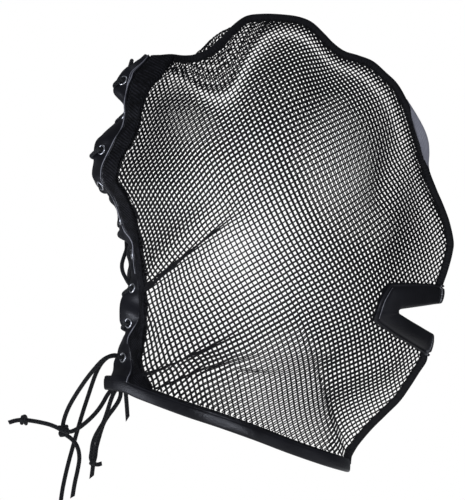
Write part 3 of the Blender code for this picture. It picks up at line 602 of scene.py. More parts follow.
# %% Eyelet metal
metal = Finish("eyelet_metal", Metallic=1.0)
scuff = metal.noise(700.0, 3.0, 0.6)
metal.feed(Roughness=metal.between(scuff, 0.3, 0.7, 0.26, 0.42),
           Base_Color=metal.blend(scuff, (0.50, 0.51, 0.53), (0.80, 0.81, 0.83)))

# %% Floor
pale = Finish("pale_floor", Roughness=0.9, Base_Color=(0.90, 0.90, 0.91, 1),
              Emission_Color=(1, 1, 1, 1), Emission_Strength=0.35)
floor.data.materials.append(pale.material)
print("finishes", len(bpy.data.materials))

# %% [markdown]
# ## Bending a grid into a piece
# A strip, a tape, a cord or a band is a grid that is rolled up. The grid gives every piece a UV map
# for nothing: one way runs along the piece in metres, the other goes round its section.


# %% Rolled grids
def finished(name, mesh, finish, *nodes, slot=None):
    """Link a mesh as a piece of the hood, with its finish and the solids that it replaces."""
    piece = bpy.data.objects.new(name, mesh)
    bpy.context.scene.collection.objects.link(piece)
    mesh.materials.clear()
    mesh.materials.append(finish.material)
    mesh.shade_smooth()
    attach(piece, "root")
    if nodes:
        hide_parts(*nodes)
    return piece


def rolled(name, points, closed=False):
    """A mesh through rows of closed sections: points is rows x corners x 3. UV is metres, turns."""
    corners = points.shape[1]
    if closed:
        points = np.concatenate([points, points[:1]])
    work = bmesh.new()
    bmesh.ops.create_grid(work, x_segments=len(points) - 1, y_segments=corners, size=0.5)
    mesh = baked(name, work)
    flat = np.empty(len(mesh.vertices) * 3)
    mesh.vertices.foreach_get("co", flat)
    s, t = flat.reshape(-1, 3)[:, 0] + 0.5, flat.reshape(-1, 3)[:, 1] + 0.5
    row = np.rint(s * (len(points) - 1)).astype(int)
    corner = np.rint(t * corners).astype(int)
    run = run_along(points.mean(axis=1))
    mesh.vertices.foreach_set("co", points[row, corner % corners].ravel())
    loops = np.empty(len(mesh.loops), int)
    mesh.loops.foreach_get("vertex_index", loops)
    layer = mesh.uv_layers.new(name="UVMap")
    layer.data.foreach_set("uv", np.stack([run[row], t], axis=1)[loops].ravel())
    work = bmesh.new()
    work.from_mesh(mesh)
    bmesh.ops.remove_doubles(work, verts=work.verts, dist=1e-6)
    if not closed:
        bmesh.ops.holes_fill(work, edges=[e for e in work.edges if e.is_boundary])
    bmesh.ops.recalc_face_normals(work, faces=work.faces)
    work.to_mesh(mesh)
    work.free()
    return mesh


def section(width, thickness, corner, round_steps=3, top_steps=8):
    """A flat strip's section with rounded corners, as shares of its width and heights in metres."""
    half, cut = thickness / 2, min(corner, thickness / 2)
    spots = []
    for across, rise, start in ((width - cut, half - cut, pi / 2), (width - cut, cut - half, 0),
                                (cut, cut - half, -pi / 2), (cut, half - cut, -pi)):
        for k in range(round_steps + 1):
            a = start - k * pi / 2 / round_steps
            spots.append((across + cut * cos(a), rise + cut * sin(a)))
        if rise > 0 and start == -pi or start == 0:
            ends = (spots[-1], spots[0]) if start == -pi else (spots[-1], (cut, -half))
            for k in range(1, top_steps):
                share = k / top_steps
                spots.append(tuple(a + (b - a) * share for a, b in zip(*ends)))
    return np.array([(a / width, r) for a, r in spots])


def strip(name, near, far, outward, shape, relief=None, closed=False):
    """A strip between two lines, its section given by shares of the width and heights."""
    across = far - near
    width = np.linalg.norm(across, axis=1, keepdims=True)
    across = across / width
    outward = unit(outward - across * (outward * across).sum(axis=1, keepdims=True))
    share, rise = shape.T
    rise = np.repeat(rise[None, :], len(near), axis=0)
    if relief is not None:
        run = run_along(near)
        rise = rise + relief(run[:, None], share[None, :], rise)
    points = (near[:, None] + across[:, None] * (share[None, :, None] * width[:, None])
              + outward[:, None] * rise[:, :, None])
    return rolled(name, points, closed)


def tube(name, line, radius, sides=12, cut=0.0):
    """A round tube along a line; the radius may vary along it, and its far end may be cut askew."""
    line = np.asarray(line)
    radius = np.broadcast_to(radius, len(line))
    along = unit(np.gradient(line, axis=0))
    side = [unit(np.cross(along[0], [0.3, 0.2, 1.0]))]
    for a in along[1:]:
        side.append(unit(side[-1] - a * (side[-1] @ a)))
    side = np.array(side)
    up = np.cross(along, side)
    angle = np.linspace(0, tau, sides, endpoint=False)
    points = line[:, None] + radius[:, None, None] * (
        side[:, None] * np.cos(angle)[None, :, None] + up[:, None] * np.sin(angle)[None, :, None])
    if cut:
        run = run_along(line)
        short = (line[-1] - points[-1])[:, 1] * cut
        excess = np.clip(run[:, None] - (run[-1] - short[None, :]), 0, None)
        excess[-1] = short
        points = points - along[-1] * excess[:, :, None]
    return rolled(name, points)


def joined(name, meshes):
    """Several meshes as one."""
    work = bmesh.new()
    for mesh in meshes:
        work.from_mesh(mesh)
    return baked(name, work)


def flipped(mesh):
    """The mirror image of a mesh across the middle plane."""
    work = bmesh.new()
    work.from_mesh(mesh)
    bmesh.ops.scale(work, vec=(-1, 1, 1), verts=work.verts)
    bmesh.ops.reverse_faces(work, faces=work.faces)
    return baked(mesh.name, work)


print("grid helpers ready")

# %% [markdown]
# ## The loose lace
# The free ends hang from the lowest eyelets by their own weight. Each is a tube along one smooth
# curve of its real length.

# %% Routes of the loose ends
# Points in metres. They follow the construction's routes to within 3 mm.
ROUTES = {
    "lace_end_right": [
        (-0.0242, 0.0985, -0.2145), (-0.0256, 0.1012, -0.2141), (-0.0268, 0.1050, -0.2150),
        (-0.0268, 0.1090, -0.2177), (-0.0255, 0.1135, -0.2226), (-0.0235, 0.1180, -0.2282),
        (-0.0212, 0.1225, -0.2346), (-0.0188, 0.1266, -0.2410), (-0.0165, 0.1302, -0.2476),
        (-0.0145, 0.1328, -0.2545), (-0.0130, 0.1337, -0.2600), (-0.0120, 0.1322, -0.2642),
        (-0.0115, 0.1288, -0.2668), (-0.0112, 0.1258, -0.2700), (-0.0112, 0.1238, -0.2745),
        (-0.0114, 0.1232, -0.2800), (-0.0118, 0.1242, -0.2868), (-0.0120, 0.1262, -0.2960),
        (-0.0120, 0.1276, -0.3046)],
    "lace_end_left": [
        (0.0242, 0.0985, -0.2145), (0.0256, 0.1012, -0.2141), (0.0262, 0.1050, -0.2152),
        (0.0250, 0.1085, -0.2182), (0.0220, 0.1112, -0.2222), (0.0180, 0.1136, -0.2276),
        (0.0135, 0.1158, -0.2340), (0.0090, 0.1180, -0.2408), (0.0050, 0.1202, -0.2475),
        (0.0015, 0.1222, -0.2540), (-0.0012, 0.1240, -0.2602), (-0.0030, 0.1257, -0.2662),
        (-0.0042, 0.1277, -0.2735), (-0.0050, 0.1299, -0.2815), (-0.0056, 0.1320, -0.2900),
        (-0.0060, 0.1338, -0.2985), (-0.0062, 0.1350, -0.3065), (-0.0062, 0.1356, -0.3140)],
    "lace_bow": [
        (-0.0163, 0.1002, -0.2336), (-0.0150, 0.1030, -0.2362), (-0.0146, 0.1056, -0.2398),
        (-0.0150, 0.1082, -0.2444), (-0.0158, 0.1112, -0.2488), (-0.0167, 0.1150, -0.2531),
        (-0.0175, 0.1194, -0.2571), (-0.0181, 0.1240, -0.2605), (-0.0184, 0.1288, -0.2626),
        (-0.0182, 0.1335, -0.2620), (-0.0172, 0.1378, -0.2598), (-0.0160, 0.1425, -0.2580),
        (-0.0150, 0.1475, -0.2568), (-0.0143, 0.1530, -0.2558), (-0.0138, 0.1590, -0.2551),
        (-0.0135, 0.1640, -0.2556), (-0.0133, 0.1683, -0.2569)],
    "lace_tail_front": [
        (-0.0203, 0.0996, -0.2354), (-0.0208, 0.1014, -0.2385), (-0.0210, 0.1030, -0.2425),
        (-0.0210, 0.1044, -0.2470), (-0.0210, 0.1060, -0.2520), (-0.0210, 0.1078, -0.2567),
        (-0.0210, 0.1104, -0.2610), (-0.0210, 0.1129, -0.2655), (-0.0210, 0.1146, -0.2705),
        (-0.0210, 0.1152, -0.2752), (-0.0208, 0.1157, -0.2796), (-0.0203, 0.1140, -0.2828),
        (-0.0196, 0.1114, -0.2836), (-0.0190, 0.1088, -0.2829)],
    "lace_tail_rear": [
        (-0.0180, 0.0968, -0.2356), (-0.0172, 0.0968, -0.2392), (-0.0166, 0.0982, -0.2432),
        (-0.0162, 0.1010, -0.2475), (-0.0158, 0.1044, -0.2520), (-0.0154, 0.1074, -0.2568),
        (-0.0152, 0.1093, -0.2620), (-0.0152, 0.1109, -0.2675), (-0.0152, 0.1123, -0.2730),
        (-0.0152, 0.1130, -0.2785), (-0.0152, 0.1143, -0.2840), (-0.0152, 0.1153, -0.2918)],
    "lace_tip": [
        (-0.0196, 0.0930, -0.2230), (-0.0202, 0.0937, -0.2282), (-0.0206, 0.0942, -0.2332),
        (-0.0208, 0.0936, -0.2368), (-0.0206, 0.0932, -0.2410), (-0.0202, 0.0928, -0.2460),
        (-0.0198, 0.0925, -0.2505), (-0.0196, 0.0922, -0.2545)],
}
TIE_KNOT = (-0.0194, 0.0980, -0.2315)
# Knots on the loose ends: the cord, share of its length, length along it and radius.
KNOTS = {
    "knot_meeting": ("lace_end_right", 0.585, 0.0080, 0.0040),
    "knot_stopper": ("lace_bow", 0.885, 0.0052, 0.0036),
    "knot_small": ("lace_tail_front", 0.90, 0.0030, 0.0026),
}
CORD_STEP = 0.0009
# The plait stands a little proud of the lace's own diameter.
LACE_DRAWN = 0.0028
# The ends are cut askew: how steeply.
LACE_CUT, OTHER_CUT = {"lace_tip": 1.3, "lace_tail_rear": 1.0, "lace_end_right": 0.8}, 0.5


# %% Cords and their knots
def wound_knot(name, centre, along, radius, length, turns=3.4, strand=LACE_DIAMETER * 0.46):
    """A knot: lace wound round a cord in a short rising coil that crosses itself."""
    t = np.linspace(0, 1, 60)
    angle = t * turns * tau
    ride_up = (radius - strand) * (0.75 + 0.25 * np.sin(pi * t))
    local = np.stack([ride_up * np.cos(angle), ride_up * np.sin(angle),
                      (length / 2 - strand) * np.sin(t * tau * 1.5)], axis=1)
    rotation = np.array(Vector(along).to_track_quat("Z", "Y").to_matrix())
    return tube(name, local @ rotation.T + np.array(centre), strand, sides=10)


cords, cord_length = {}, {}
for name, route in ROUTES.items():
    length = run_along(smooth_curve(route, 200))[-1]
    line = smooth_curve(route, round(length / CORD_STEP))
    drawn = tube(name, line, LACE_DRAWN / 2, sides=14, cut=LACE_CUT.get(name, OTHER_CUT))
    cords[name] = finished(f"{name}_braided", drawn, braid, name, slot="lace")
    cord_length[name] = (length, line)
knots = {}
for name, (cord, share, length, radius) in KNOTS.items():
    line = cord_length[cord][1]
    k = int(share * (len(line) - 1))
    mesh = wound_knot(name, line[k], line[k + 1] - line[k - 1], radius, length)
    knots[name] = (cord, finished(f"{name}_wound", mesh, braid, name, slot="lace"))
# The knot at the collar is two short coils, one across the other.
tie = joined("knot_tie", [
    wound_knot("upright", TIE_KNOT, (0.2, 0.3, 1.0), radius=0.0034, length=0.0058, turns=2.2),
    wound_knot("across", TIE_KNOT, (1.0, 0.2, 0.2), radius=0.0030, length=0.0056, turns=2.2)])
tie = finished("knot_tie_wound", tie, braid, "knot_tie", slot="lace")
for name, (length, line) in cord_length.items():
    on_it = [piece for cord, piece in knots.values() if cord == name]
    print(name, round(length * 1000), "mm")

# %% [markdown]
# ## The net
# The net is a square mesh of thin yarn. It is cut flat, on the bias, and stretched into a dome. So
# the yarns are drawn as straight lines on the flat cloth, and every crossing is carried to the
# dome by its direction and its distance from the ear, measured over the skin. Yarns pass over and
# under each other. The lacing drags the cloth down at the back, and tucks pull it over itself
# along a line and lift it.

# %% Net sizes
# The cell's side, the yarn's radius and how far a yarn rises over the one that it crosses.
NET_PITCH, YARN, WEAVE_LIFT = 0.0032, 0.00041, 0.00020
# The slants of the two families of yarns in degrees, and the step from crossing to crossing.
ALONG, STEEP = 30.0, 113.0
WEAVE = NET_PITCH * np.array([[cos(a), sin(a)] for a in np.radians([ALONG, STEEP])])
# A yarn is traced at so many places a cell, and drawn through so many of them.
TRACED_PER_CELL, STEPS_PER_CELL, FEWEST_TRACED = 8, 2, 5
# How far past the dome's own reach the yarns are laid out and traced, as the lacing drags them in.
LAID_OUT, TRACED_OUT = 1.45, 1.35
# How far the cut net runs in under the mouth frame.
MOUTH_TUCK_IN = 0.0015
# The laced back drags the cloth down along its steep yarns: from forward of the ear, how hard, and
# the share of it that is left below the main tuck.
DRAG_FROM, DRAG, DRAG_BELOW, DRAG_EDGE = 0.035, 1.45, 0.40, 0.004
# The cells are stretched towards the laced edge: share of their length there.
BACK_STRETCH = 0.10
# The jaw and the neck turn the weave: forward, up, radius in metres, degrees.
TWISTS = [(0.199, -0.759, 0.062, -16.0), (-0.110, -0.800, 0.052, -9.0)]
# The left net lies off the right one by half a cell near the edges, where both show.
OFF_FROM = 0.86
# The left net billows above the ridge behind the crown: direction and spread in degrees, how far
# in from the edge as a share, and height in metres.
BILLOW_ANGLE, BILLOW_WIDE, BILLOW_DEPTH, BILLOW_RISE = 107.0, 10.0, 0.050, 0.0150
# Tucks, the main one first: start and end (forward, up), then the pull, the crease's width, the
# lift and the reach in metres.
TUCKS = [
    (-0.350, -0.585, -0.096, -0.420, 0.0052, 0.0016, 0.0016, 0.036),
    (-0.355, -0.763, -0.074, -0.674, 0.0032, 0.0015, 0.0010, 0.018),
    (-0.311, -0.791, -0.019, -0.720, 0.0020, 0.0014, 0.0006, 0.012),
    (-0.085, -0.759, 0.090, -0.761, 0.0011, 0.0016, 0.0004, 0.012),
]


# %% Flat cloth to dome and back
class Dome:
    """The skin of one side, read by direction from the ear and distance over the skin."""

    # How finely the skin is read, by direction, share and distance, and how far past its edge.
    DEGREES, RADIAL_STEPS, RUN_STEPS, PAST_EDGE = 0.5, 161, 700, 1.3

    def __init__(self):
        self.angle = np.radians(np.arange(-180, 180 + self.DEGREES, self.DEGREES))
        self.turn = self.angle[1] - self.angle[0]
        self.reach = at_angle(np.degrees(self.angle), OUTLINE_RADIUS)
        share = self.steps = np.linspace(0, 1, self.RADIAL_STEPS)
        y = EAR_Y - np.cos(self.angle)[:, None] * self.reach[:, None] * share
        z = EAR_Z + np.sin(self.angle)[:, None] * self.reach[:, None] * share
        points = skin(y, z, -1)
        step = np.linalg.norm(np.diff(points, axis=1), axis=2)
        self.run = np.concatenate([np.zeros((len(y), 1)), np.cumsum(step, axis=1)], axis=1)
        self.far = self.run[:, -1]
        self.cut = self.far / (1 + BACK_STRETCH * np.clip(-np.cos(self.angle), 0, 1)**2)
        self.grid = np.linspace(0, self.far.max() * self.PAST_EDGE, self.RUN_STEPS)
        self.share = np.array([np.interp(self.grid, run, share) for run in self.run])
        over = self.grid[None, :] > self.far[:, None]
        self.share = np.where(over, self.grid[None, :] / self.far[:, None], self.share)

    def to_flat(self, forward, up):
        """The flat place of a point given as shares of DEPTH and HEIGHT."""
        y, z = place(forward, up)[1:]
        angle = atan2(z - EAR_Z, -(y - EAR_Y))
        share = hypot(y - EAR_Y, z - EAR_Z) / float(np.interp(angle, self.angle, self.reach))
        row = int(round((angle + pi) / self.turn))
        run = float(np.interp(share, self.steps, self.run[row]))
        return np.array([run * cos(angle), run * sin(angle)])

    def share_at(self, angle, run):
        """The share of the way to the edge, at directions and distances over the skin."""
        a = (angle + pi) / self.turn
        r = run / self.grid[1]
        a0 = np.clip(np.floor(a).astype(int), 0, len(self.angle) - 2)
        r0 = np.clip(np.floor(r).astype(int), 0, len(self.grid) - 2)
        u, v = a - a0, np.clip(r - r0, 0, 1)
        s = self.share
        return ((s[a0, r0] * (1 - v) + s[a0, r0 + 1] * v) * (1 - u)
                + (s[a0 + 1, r0] * (1 - v) + s[a0 + 1, r0 + 1] * v) * u)

    def dragged(self, flat):
        """Drag the cloth down at the back, more above the main tuck, and turn it at the jaw."""
        f0, u0, f1, u1 = TUCKS[0][:4]
        start, end = self.to_flat(f0, u0), self.to_flat(f1, u1)
        run = unit(end - start)
        back = np.clip(DRAG_FROM - flat[:, 0], 0, None)
        steep = unit(WEAVE[1])
        about = flat - steep * (DRAG * back**2 * (1 + DRAG_BELOW) / 2)[:, None]
        above = (about - start) @ np.array([-run[1], run[0]])
        share = DRAG_BELOW + (1 - DRAG_BELOW) / (1 + np.exp(-above / DRAG_EDGE))
        flat = flat - steep * (DRAG * back**2 * share)[:, None]
        for forward, up, radius, degrees in TWISTS:
            centre = self.to_flat(forward, up)
            x, y = (flat - centre).T
            angle = np.radians(degrees) * np.exp(-(x**2 + y**2) / radius**2)
            flat = centre + np.stack([x * np.cos(angle) - y * np.sin(angle),
                                      x * np.sin(angle) + y * np.cos(angle)], axis=1)
        return flat

    def tucked(self, flat):
        """Pull the cloth into its tucks; return the moved flat places and their lift."""
        lift = np.zeros(len(flat))
        for f0, u0, f1, u1, pull, crease, rise, reach in TUCKS:
            start, end = self.to_flat(f0, u0), self.to_flat(f1, u1)
            length = np.linalg.norm(end - start)
            run = (end - start) / length
            across = np.array([-run[1], run[0]])
            t = (flat - start) @ run / length
            q = (flat - start) @ across
            near = np.clip(1 - t, 0, 1)**0.8 * np.clip(1 + t * 12, 0, 1)
            fade = np.exp(-np.abs(q) / reach) * near
            flat = flat + across * (-pull * np.tanh(q / crease) * fade)[:, None]
            lift += rise * (1 + np.tanh(q / crease)) / 2 * np.exp(-np.abs(q) / (5 * crease)) * near
        return flat, lift

    def spots(self, flat, weave, side):
        """Points in space, and whether each lies on the panel."""
        flat, lift = self.tucked(self.dragged(flat))
        if side > 0:
            run, angle = np.hypot(*flat.T), np.arctan2(flat[:, 1], flat[:, 0])
            outer = run / np.interp(angle, self.angle, self.far)
            slip = np.clip((outer - OFF_FROM) / (1 - OFF_FROM), 0, 1)
            slip *= np.clip(0.7 + 2 * np.sin(angle), 0, 1)
            flat = flat + slip[:, None] * WEAVE.sum(axis=0) / 2
        run, angle = np.hypot(*flat.T), np.arctan2(flat[:, 1], flat[:, 0])
        back = np.clip(-np.cos(angle), 0, 1)**2
        run = run * (1 + BACK_STRETCH * back * (run / np.interp(angle, self.angle, self.far))**4)
        share = self.share_at(angle, run)
        reach = np.interp(angle, self.angle, self.reach)
        if side > 0:
            depth = np.clip(1 - share, 0, 1) / BILLOW_DEPTH
            spread = np.exp(-((np.degrees(angle) - BILLOW_ANGLE) / BILLOW_WIDE)**2)
            rise = depth * np.exp(1 - depth) * spread
        y = EAR_Y - np.cos(angle) * reach * np.minimum(share, 1)
        z = EAR_Z + np.sin(angle) * reach * np.minimum(share, 1)
        point = skin(y, z, side)
        point += skin_normal(y, z, side) * (lift + weave)[:, None]
        if side > 0:
            point[:, 2] += BILLOW_RISE * rise
        return point, (share <= 1.0) & ~in_mouth(y, z)


def mouth_outline(shrink):
    """The mouth frame's outer edge in side view, drawn in by a distance."""
    rows = np.array([(place(r[0], r[1])[1:], place(r[2], r[3])[1:]) for r in MOUTH])
    outer, inner = rows[:, 0], rows[:, 1]
    edge = outer + unit(inner - outer) * shrink
    front = np.array([[-0.6 * DEPTH, edge[-1][1]], [-0.6 * DEPTH, edge[0][1]]])
    return np.vstack([edge, front])


MOUTH_EDGE = mouth_outline(MOUTH_TUCK_IN)


def in_mouth(y, z):
    """Which places lie inside the mouth frame, by counting the edges that they are left of."""
    inside = np.zeros(np.shape(y), bool)
    for (y0, z0), (y1, z1) in zip(MOUTH_EDGE, np.roll(MOUTH_EDGE, -1, axis=0)):
        crosses = (z0 > z) != (z1 > z)
        if z1 != z0:
            inside ^= crosses & (y < (y1 - y0) * (z - z0) / (z1 - z0) + y0)
    return inside


# %% Yarns as one joined mesh a side
def yarn_lines(dome, side):
    """Lines of points for all the yarns of a side."""
    many = int(dome.far.max() / NET_PITCH * LAID_OUT)
    steps = np.arange(-many * TRACED_PER_CELL, many * TRACED_PER_CELL + 1) / TRACED_PER_CELL
    for family in (0, 1):
        for fixed in range(-many, many + 1):
            flat = steps[:, None] * WEAVE[family] + fixed * WEAVE[1 - family]
            close = np.hypot(*flat.T) < dome.far.max() * TRACED_OUT
            if close.sum() < FEWEST_TRACED:
                continue
            run = steps[close]
            weave = WEAVE_LIFT * np.cos(pi * (run + fixed)) * (1 if family == 0 else -1)
            point, on = dome.spots(flat[close], weave, side)
            edges = np.flatnonzero(np.diff(np.concatenate([[0], on.astype(int), [0]])))
            for a, b in zip(edges[::2], edges[1::2]):
                if b - a < FEWEST_TRACED:
                    continue
                keep = [k for k in range(a, b)
                        if k in (a, b - 1) or abs(run[k] * STEPS_PER_CELL % 1) < 1e-6]
                yield point[keep]


def yarn_mesh(name, lines, radius, sides=4):
    """All the yarns as tubes, built as arrays and joined."""
    corners, faces, base = [], [], 0
    angle = np.linspace(0, tau, sides, endpoint=False)
    for line in lines:
        if len(line) < 3:
            continue
        along = unit(np.gradient(line, axis=0))
        side = unit(np.cross(along, [1.0, 0.02, 0.01]))
        up = np.cross(along, side)
        ring = line[:, None] + radius * (side[:, None] * np.cos(angle)[:, None]
                                         + up[:, None] * np.sin(angle)[:, None])
        corners.append(ring.reshape(-1, 3))
        k = np.arange(len(line) - 1)[:, None] * sides + base
        c = np.arange(sides)[None, :]
        d = (c + 1) % sides
        faces.append(np.stack([k + c, k + d, k + sides + d, k + sides + c], -1).reshape(-1, 4))
        last = base + (len(line) - 1) * sides
        faces.append(np.array([[base + i for i in range(sides)][::-1],
                               [last + i for i in range(sides)]]))
        base += ring.shape[0] * sides
    mesh = bpy.data.meshes.new(name)
    mesh.from_pydata(np.vstack(corners), [], np.vstack(faces).tolist())
    return mesh


dome = Dome()
for word, side in (("right", -1), ("left", 1)):
    mesh = yarn_mesh(f"net_{word}", yarn_lines(dome, side), YARN)
    net = finished(f"net_{word}", mesh, yarn, f"net_panel_{word}", slot="net")
    size = 2 * float(dome.cut.max())

# %% [markdown]
# ## The ridge seam
# The two nets are bound together in a folded tape that stands up as a ridge. Its section is a
# loop: thick where the nets go in, round at the fold. A line of stitching runs near its foot, and
# the tape creeps in and out a little along its length.

# %% Ridge seams
SEAM_ROWS, FACE_SEAM_ROWS = 420, 90
seam_shape = section(SEAM_BAND, SEAM_THICKNESS, corner=0.0011, top_steps=5)


def seam_relief(run, share, rise):
    """Thin at the fold, with a stitch groove near the foot and a slow swell along the seam."""
    taper = 1 - 0.30 * (1 - share)**2
    groove = 0.14 * np.exp(-((share - 0.72) / 0.06)**2)
    swell = 0.05 * np.sin(run * 520) + 0.05 * np.sin(run * 1370 + 1)
    return rise * (taper - groove + swell) - rise


# The seam below the mouth runs on into the collar.
FACE_SEAM_FOOT = [(0.2180, -0.9510), (0.2160, -0.9650)]
for name, rows, count in (("crown_seam", CROWN, SEAM_ROWS),
                          ("face_seam", FACE + FACE_SEAM_FOOT, FACE_SEAM_ROWS)):
    outer, inner = seam_edges(rows, count, SEAM_BAND)
    sideways = np.tile([1.0, 0, 0], (count, 1))
    mesh = strip(name, outer, inner, sideways, seam_shape, seam_relief)
    finished(f"{name}_bound", mesh, tape, name, slot="binding")
    print(name, "faces", len(mesh.polygons))

# %% [markdown]
# On the forehead the binding is twisted, so its inner face bulges out in front of the ridge.
# Its light grey is a painted highlight, for the light that the twisted tape catches.

# %% Turned binding on the forehead
# Columns and rows in the frame: the ridge's edge, and the bulge in front of it.
TURN_BACK = [(405, 100), (411, 116), (415, 130), (419, 142), (422, 153), (425, 165), (430, 180)]
TURN_FRONT = [
    (407, 99), (417, 115), (424.5, 129), (428.5, 141), (429.5, 153), (429, 166), (432, 180)]
TURN_ROWS, TURN_WIDTH, TURN_THICKNESS, TURN_ASIDE, TURN_SWELL = 80, 0.006, 0.0016, 0.0012, 0.0006
back_edge, front_edge = (
    smooth_curve([from_pixel(column, row, TURN_ASIDE) for column, row in line], TURN_ROWS)
    for line in (TURN_BACK, TURN_FRONT))
turned = strip(
    "seam_turn", back_edge, front_edge, np.tile([-1.0, 0, 0], (TURN_ROWS, 1)),
    section(TURN_WIDTH, TURN_THICKNESS, corner=0.0007),
    lambda run, share, rise: np.sign(rise) * TURN_SWELL * np.sin(pi * np.clip(share, 0, 1)))
finished("seam_turn", turned, turned_binding_highlight, slot="binding")

# %% [markdown]
# ## Down the back
# Each net is gathered into a ribbed hem, the hem is sewn to a leather strip with a fine piping
# between them, and the strip carries the eyelets. The leather puckers between eyelets, where the
# lace doesn't hold it, so its two edges wander. SEWN keeps the place and the turn of each eyelet
# on the puckered leather.

# %% Hems, strips and piping
# Rows down the strips, and how many rows away a row's direction is read.
BACK_ROWS, NEAR_ROWS = 800, 9
# Places in the frame, columns and rows, down the piping and down the leather's rear edge.
PIPING_LINE = [
    (150.5, 55.0), (149.5, 57.5), (144, 64), (138.5, 69.5), (134.5, 74), (132.5, 80), (129.5, 86.4),
    (128.4, 92), (127.3, 99), (126.8, 106.4), (127.3, 115.5), (125.5, 126), (122.3, 132.3),
    (116.8, 140.5), (112.3, 149.5), (107.7, 158.6), (104.5, 166), (103.5, 172.3), (103.8, 178.6),
    (106.8, 185), (111.4, 190.5), (115.2, 196.5), (118.6, 204), (122.5, 216), (127.2, 229.8),
    (132.4, 237.2), (135.4, 244), (135.8, 254), (136.7, 264.7), (138.3, 274), (140, 288),
    (141.6, 301), (141.8, 312), (140, 321.2), (135.9, 328.2), (131.3, 336.3), (130.2, 344),
    (132.6, 355), (134.2, 365.5), (133, 372.5), (130.1, 379), (128.5, 390)]
LEATHER_EDGE = [
    (147, 55.8), (143.2, 57.7), (137.3, 60.9), (131.8, 65), (126.4, 68.6), (120.5, 74.5),
    (116.2, 81.8), (114.0, 88.2), (113.6, 92), (114.8, 95), (118, 98.5), (122.4, 102.7),
    (125.4, 106.4), (126.2, 109), (125.8, 112.7), (123.8, 116), (117, 122), (108.5, 129.5),
    (102.3, 135.5), (97.6, 139.5), (95.2, 144.1), (94.2, 150.5), (94.2, 156), (94, 162), (93, 169),
    (93, 175), (94.6, 179.5), (97.0, 184.5), (101.6, 189.5), (107.5, 192.5), (112, 197),
    (116, 204.5), (118.6, 213), (119.4, 221), (120, 228), (120.4, 234), (123, 238), (127.6, 242),
    (131, 247), (132, 256), (131.9, 270), (131, 280), (128, 288), (123, 295.5), (120.4, 303.7),
    (119.8, 316.5), (121, 323.5), (126.4, 331.7), (123.7, 337.5), (119.8, 346.8), (117.6, 354),
    (114.2, 362), (113.6, 370.2), (111, 377), (108, 390)]
# How far the piping stands out, its radius, its fold's radius and how far the fold lies aside.
PIPING_OUT, PIPING_RADIUS, FOLD_RADIUS, FOLD_WIDE = 0.0019, 0.00032, 0.00026, 0.0016
# The rows of the frame between which the piping, a painted highlight along the leather's edge, is
# drawn. Between them it is left out.
PIPING_SHOWN = [(54, 274), (312, 344), (358, 382)]
# A second light line, a painted highlight on a fold of the edge, lies beside the piping near its
# top, over these rows of the strip.
FOLD_ROWS = np.arange(20, 95)


def traced(places):
    """Depths and heights along a line of places in the frame, from its foot up."""
    line = smooth_curve([from_pixel(*spot) for spot in places], BACK_POINTS)[::-1]
    return line[:, 2], line[:, 1]


lines = [np.array([row[k] for row in BACK_SECTIONS]) for k in range(3)]
outs = np.array([row[3] for row in BACK_SECTIONS])
net_edge, near_edge, rear_edge = (smooth_curve(line, BACK_ROWS) for line in lines)
near_run = np.linspace(0, 1, BACK_ROWS)
stations = run_along(lines[1])
outward = unit(np.array([np.interp(near_run, stations / stations[-1], outs[:, k])
                         for k in range(3)]).T)
near_edge[:, 1] = np.interp(near_edge[:, 2], *traced(PIPING_LINE))
rear_edge = np.column_stack([
    np.interp(near_edge[:, 2], rear_edge[::-1, 2], rear_edge[::-1, 0]),
    np.interp(near_edge[:, 2], *traced(LEATHER_EDGE)), near_edge[:, 2]])


def row_at(height):
    """The row of the strip at a height."""
    return int(np.argmin(np.abs(near_edge[:, 2] - height)))


eyelet_run = np.array([row_at(centre[2]) for centre, *_ in EYELET_FRAMES])


def leather_at(row):
    """Middle, outward, across, down and half width of the leather at one of its rows."""
    middle = (near_edge + rear_edge) / 2
    across = rear_edge[row] - near_edge[row]
    half = np.linalg.norm(across) / 2
    down = unit(middle[min(row + NEAR_ROWS, BACK_ROWS - 1)] - middle[row - NEAR_ROWS])
    out = unit(np.cross(across, down))
    return middle[row], out * np.sign(out @ outward[row]), across / (2 * half), down, half


SEWN = [leather_at(row) for row in eyelet_run]
hem_shape = section(HEM_WIDTH, HEM_THICKNESS, corner=0.0013, top_steps=7)
strip_shape = section(STRIP_WIDTH, STRIP_THICKNESS, corner=0.0008)


def hem_relief(run, share, rise):
    """Ribs across the hem, deeper towards the net, with slow gathers."""
    ribs = np.abs(np.sin((run + RIB_SLANT * share) * pi / RIB_PITCH + 2.5 * np.sin(run * 90)))
    return np.sign(rise) * (0.0009 * (ribs - 0.5) * (0.55 + 0.45 * (1 - share))
                            + 0.0004 * np.sin(run * 330))


def strip_relief(run, share, rise):
    """The leather swells between the eyelets and is held flat at them."""
    at_eyelets = run[:, 0][eyelet_run]
    held = np.exp(-((run[:, :, None] - at_eyelets) / 0.0045)**2).max(axis=-1)
    full = np.sin(pi * np.clip(share, 0, 1))
    return (1 - held) * (0.0012 * full + 0.0005 * np.sin(run * 420 + share * 3)) * full**0.5


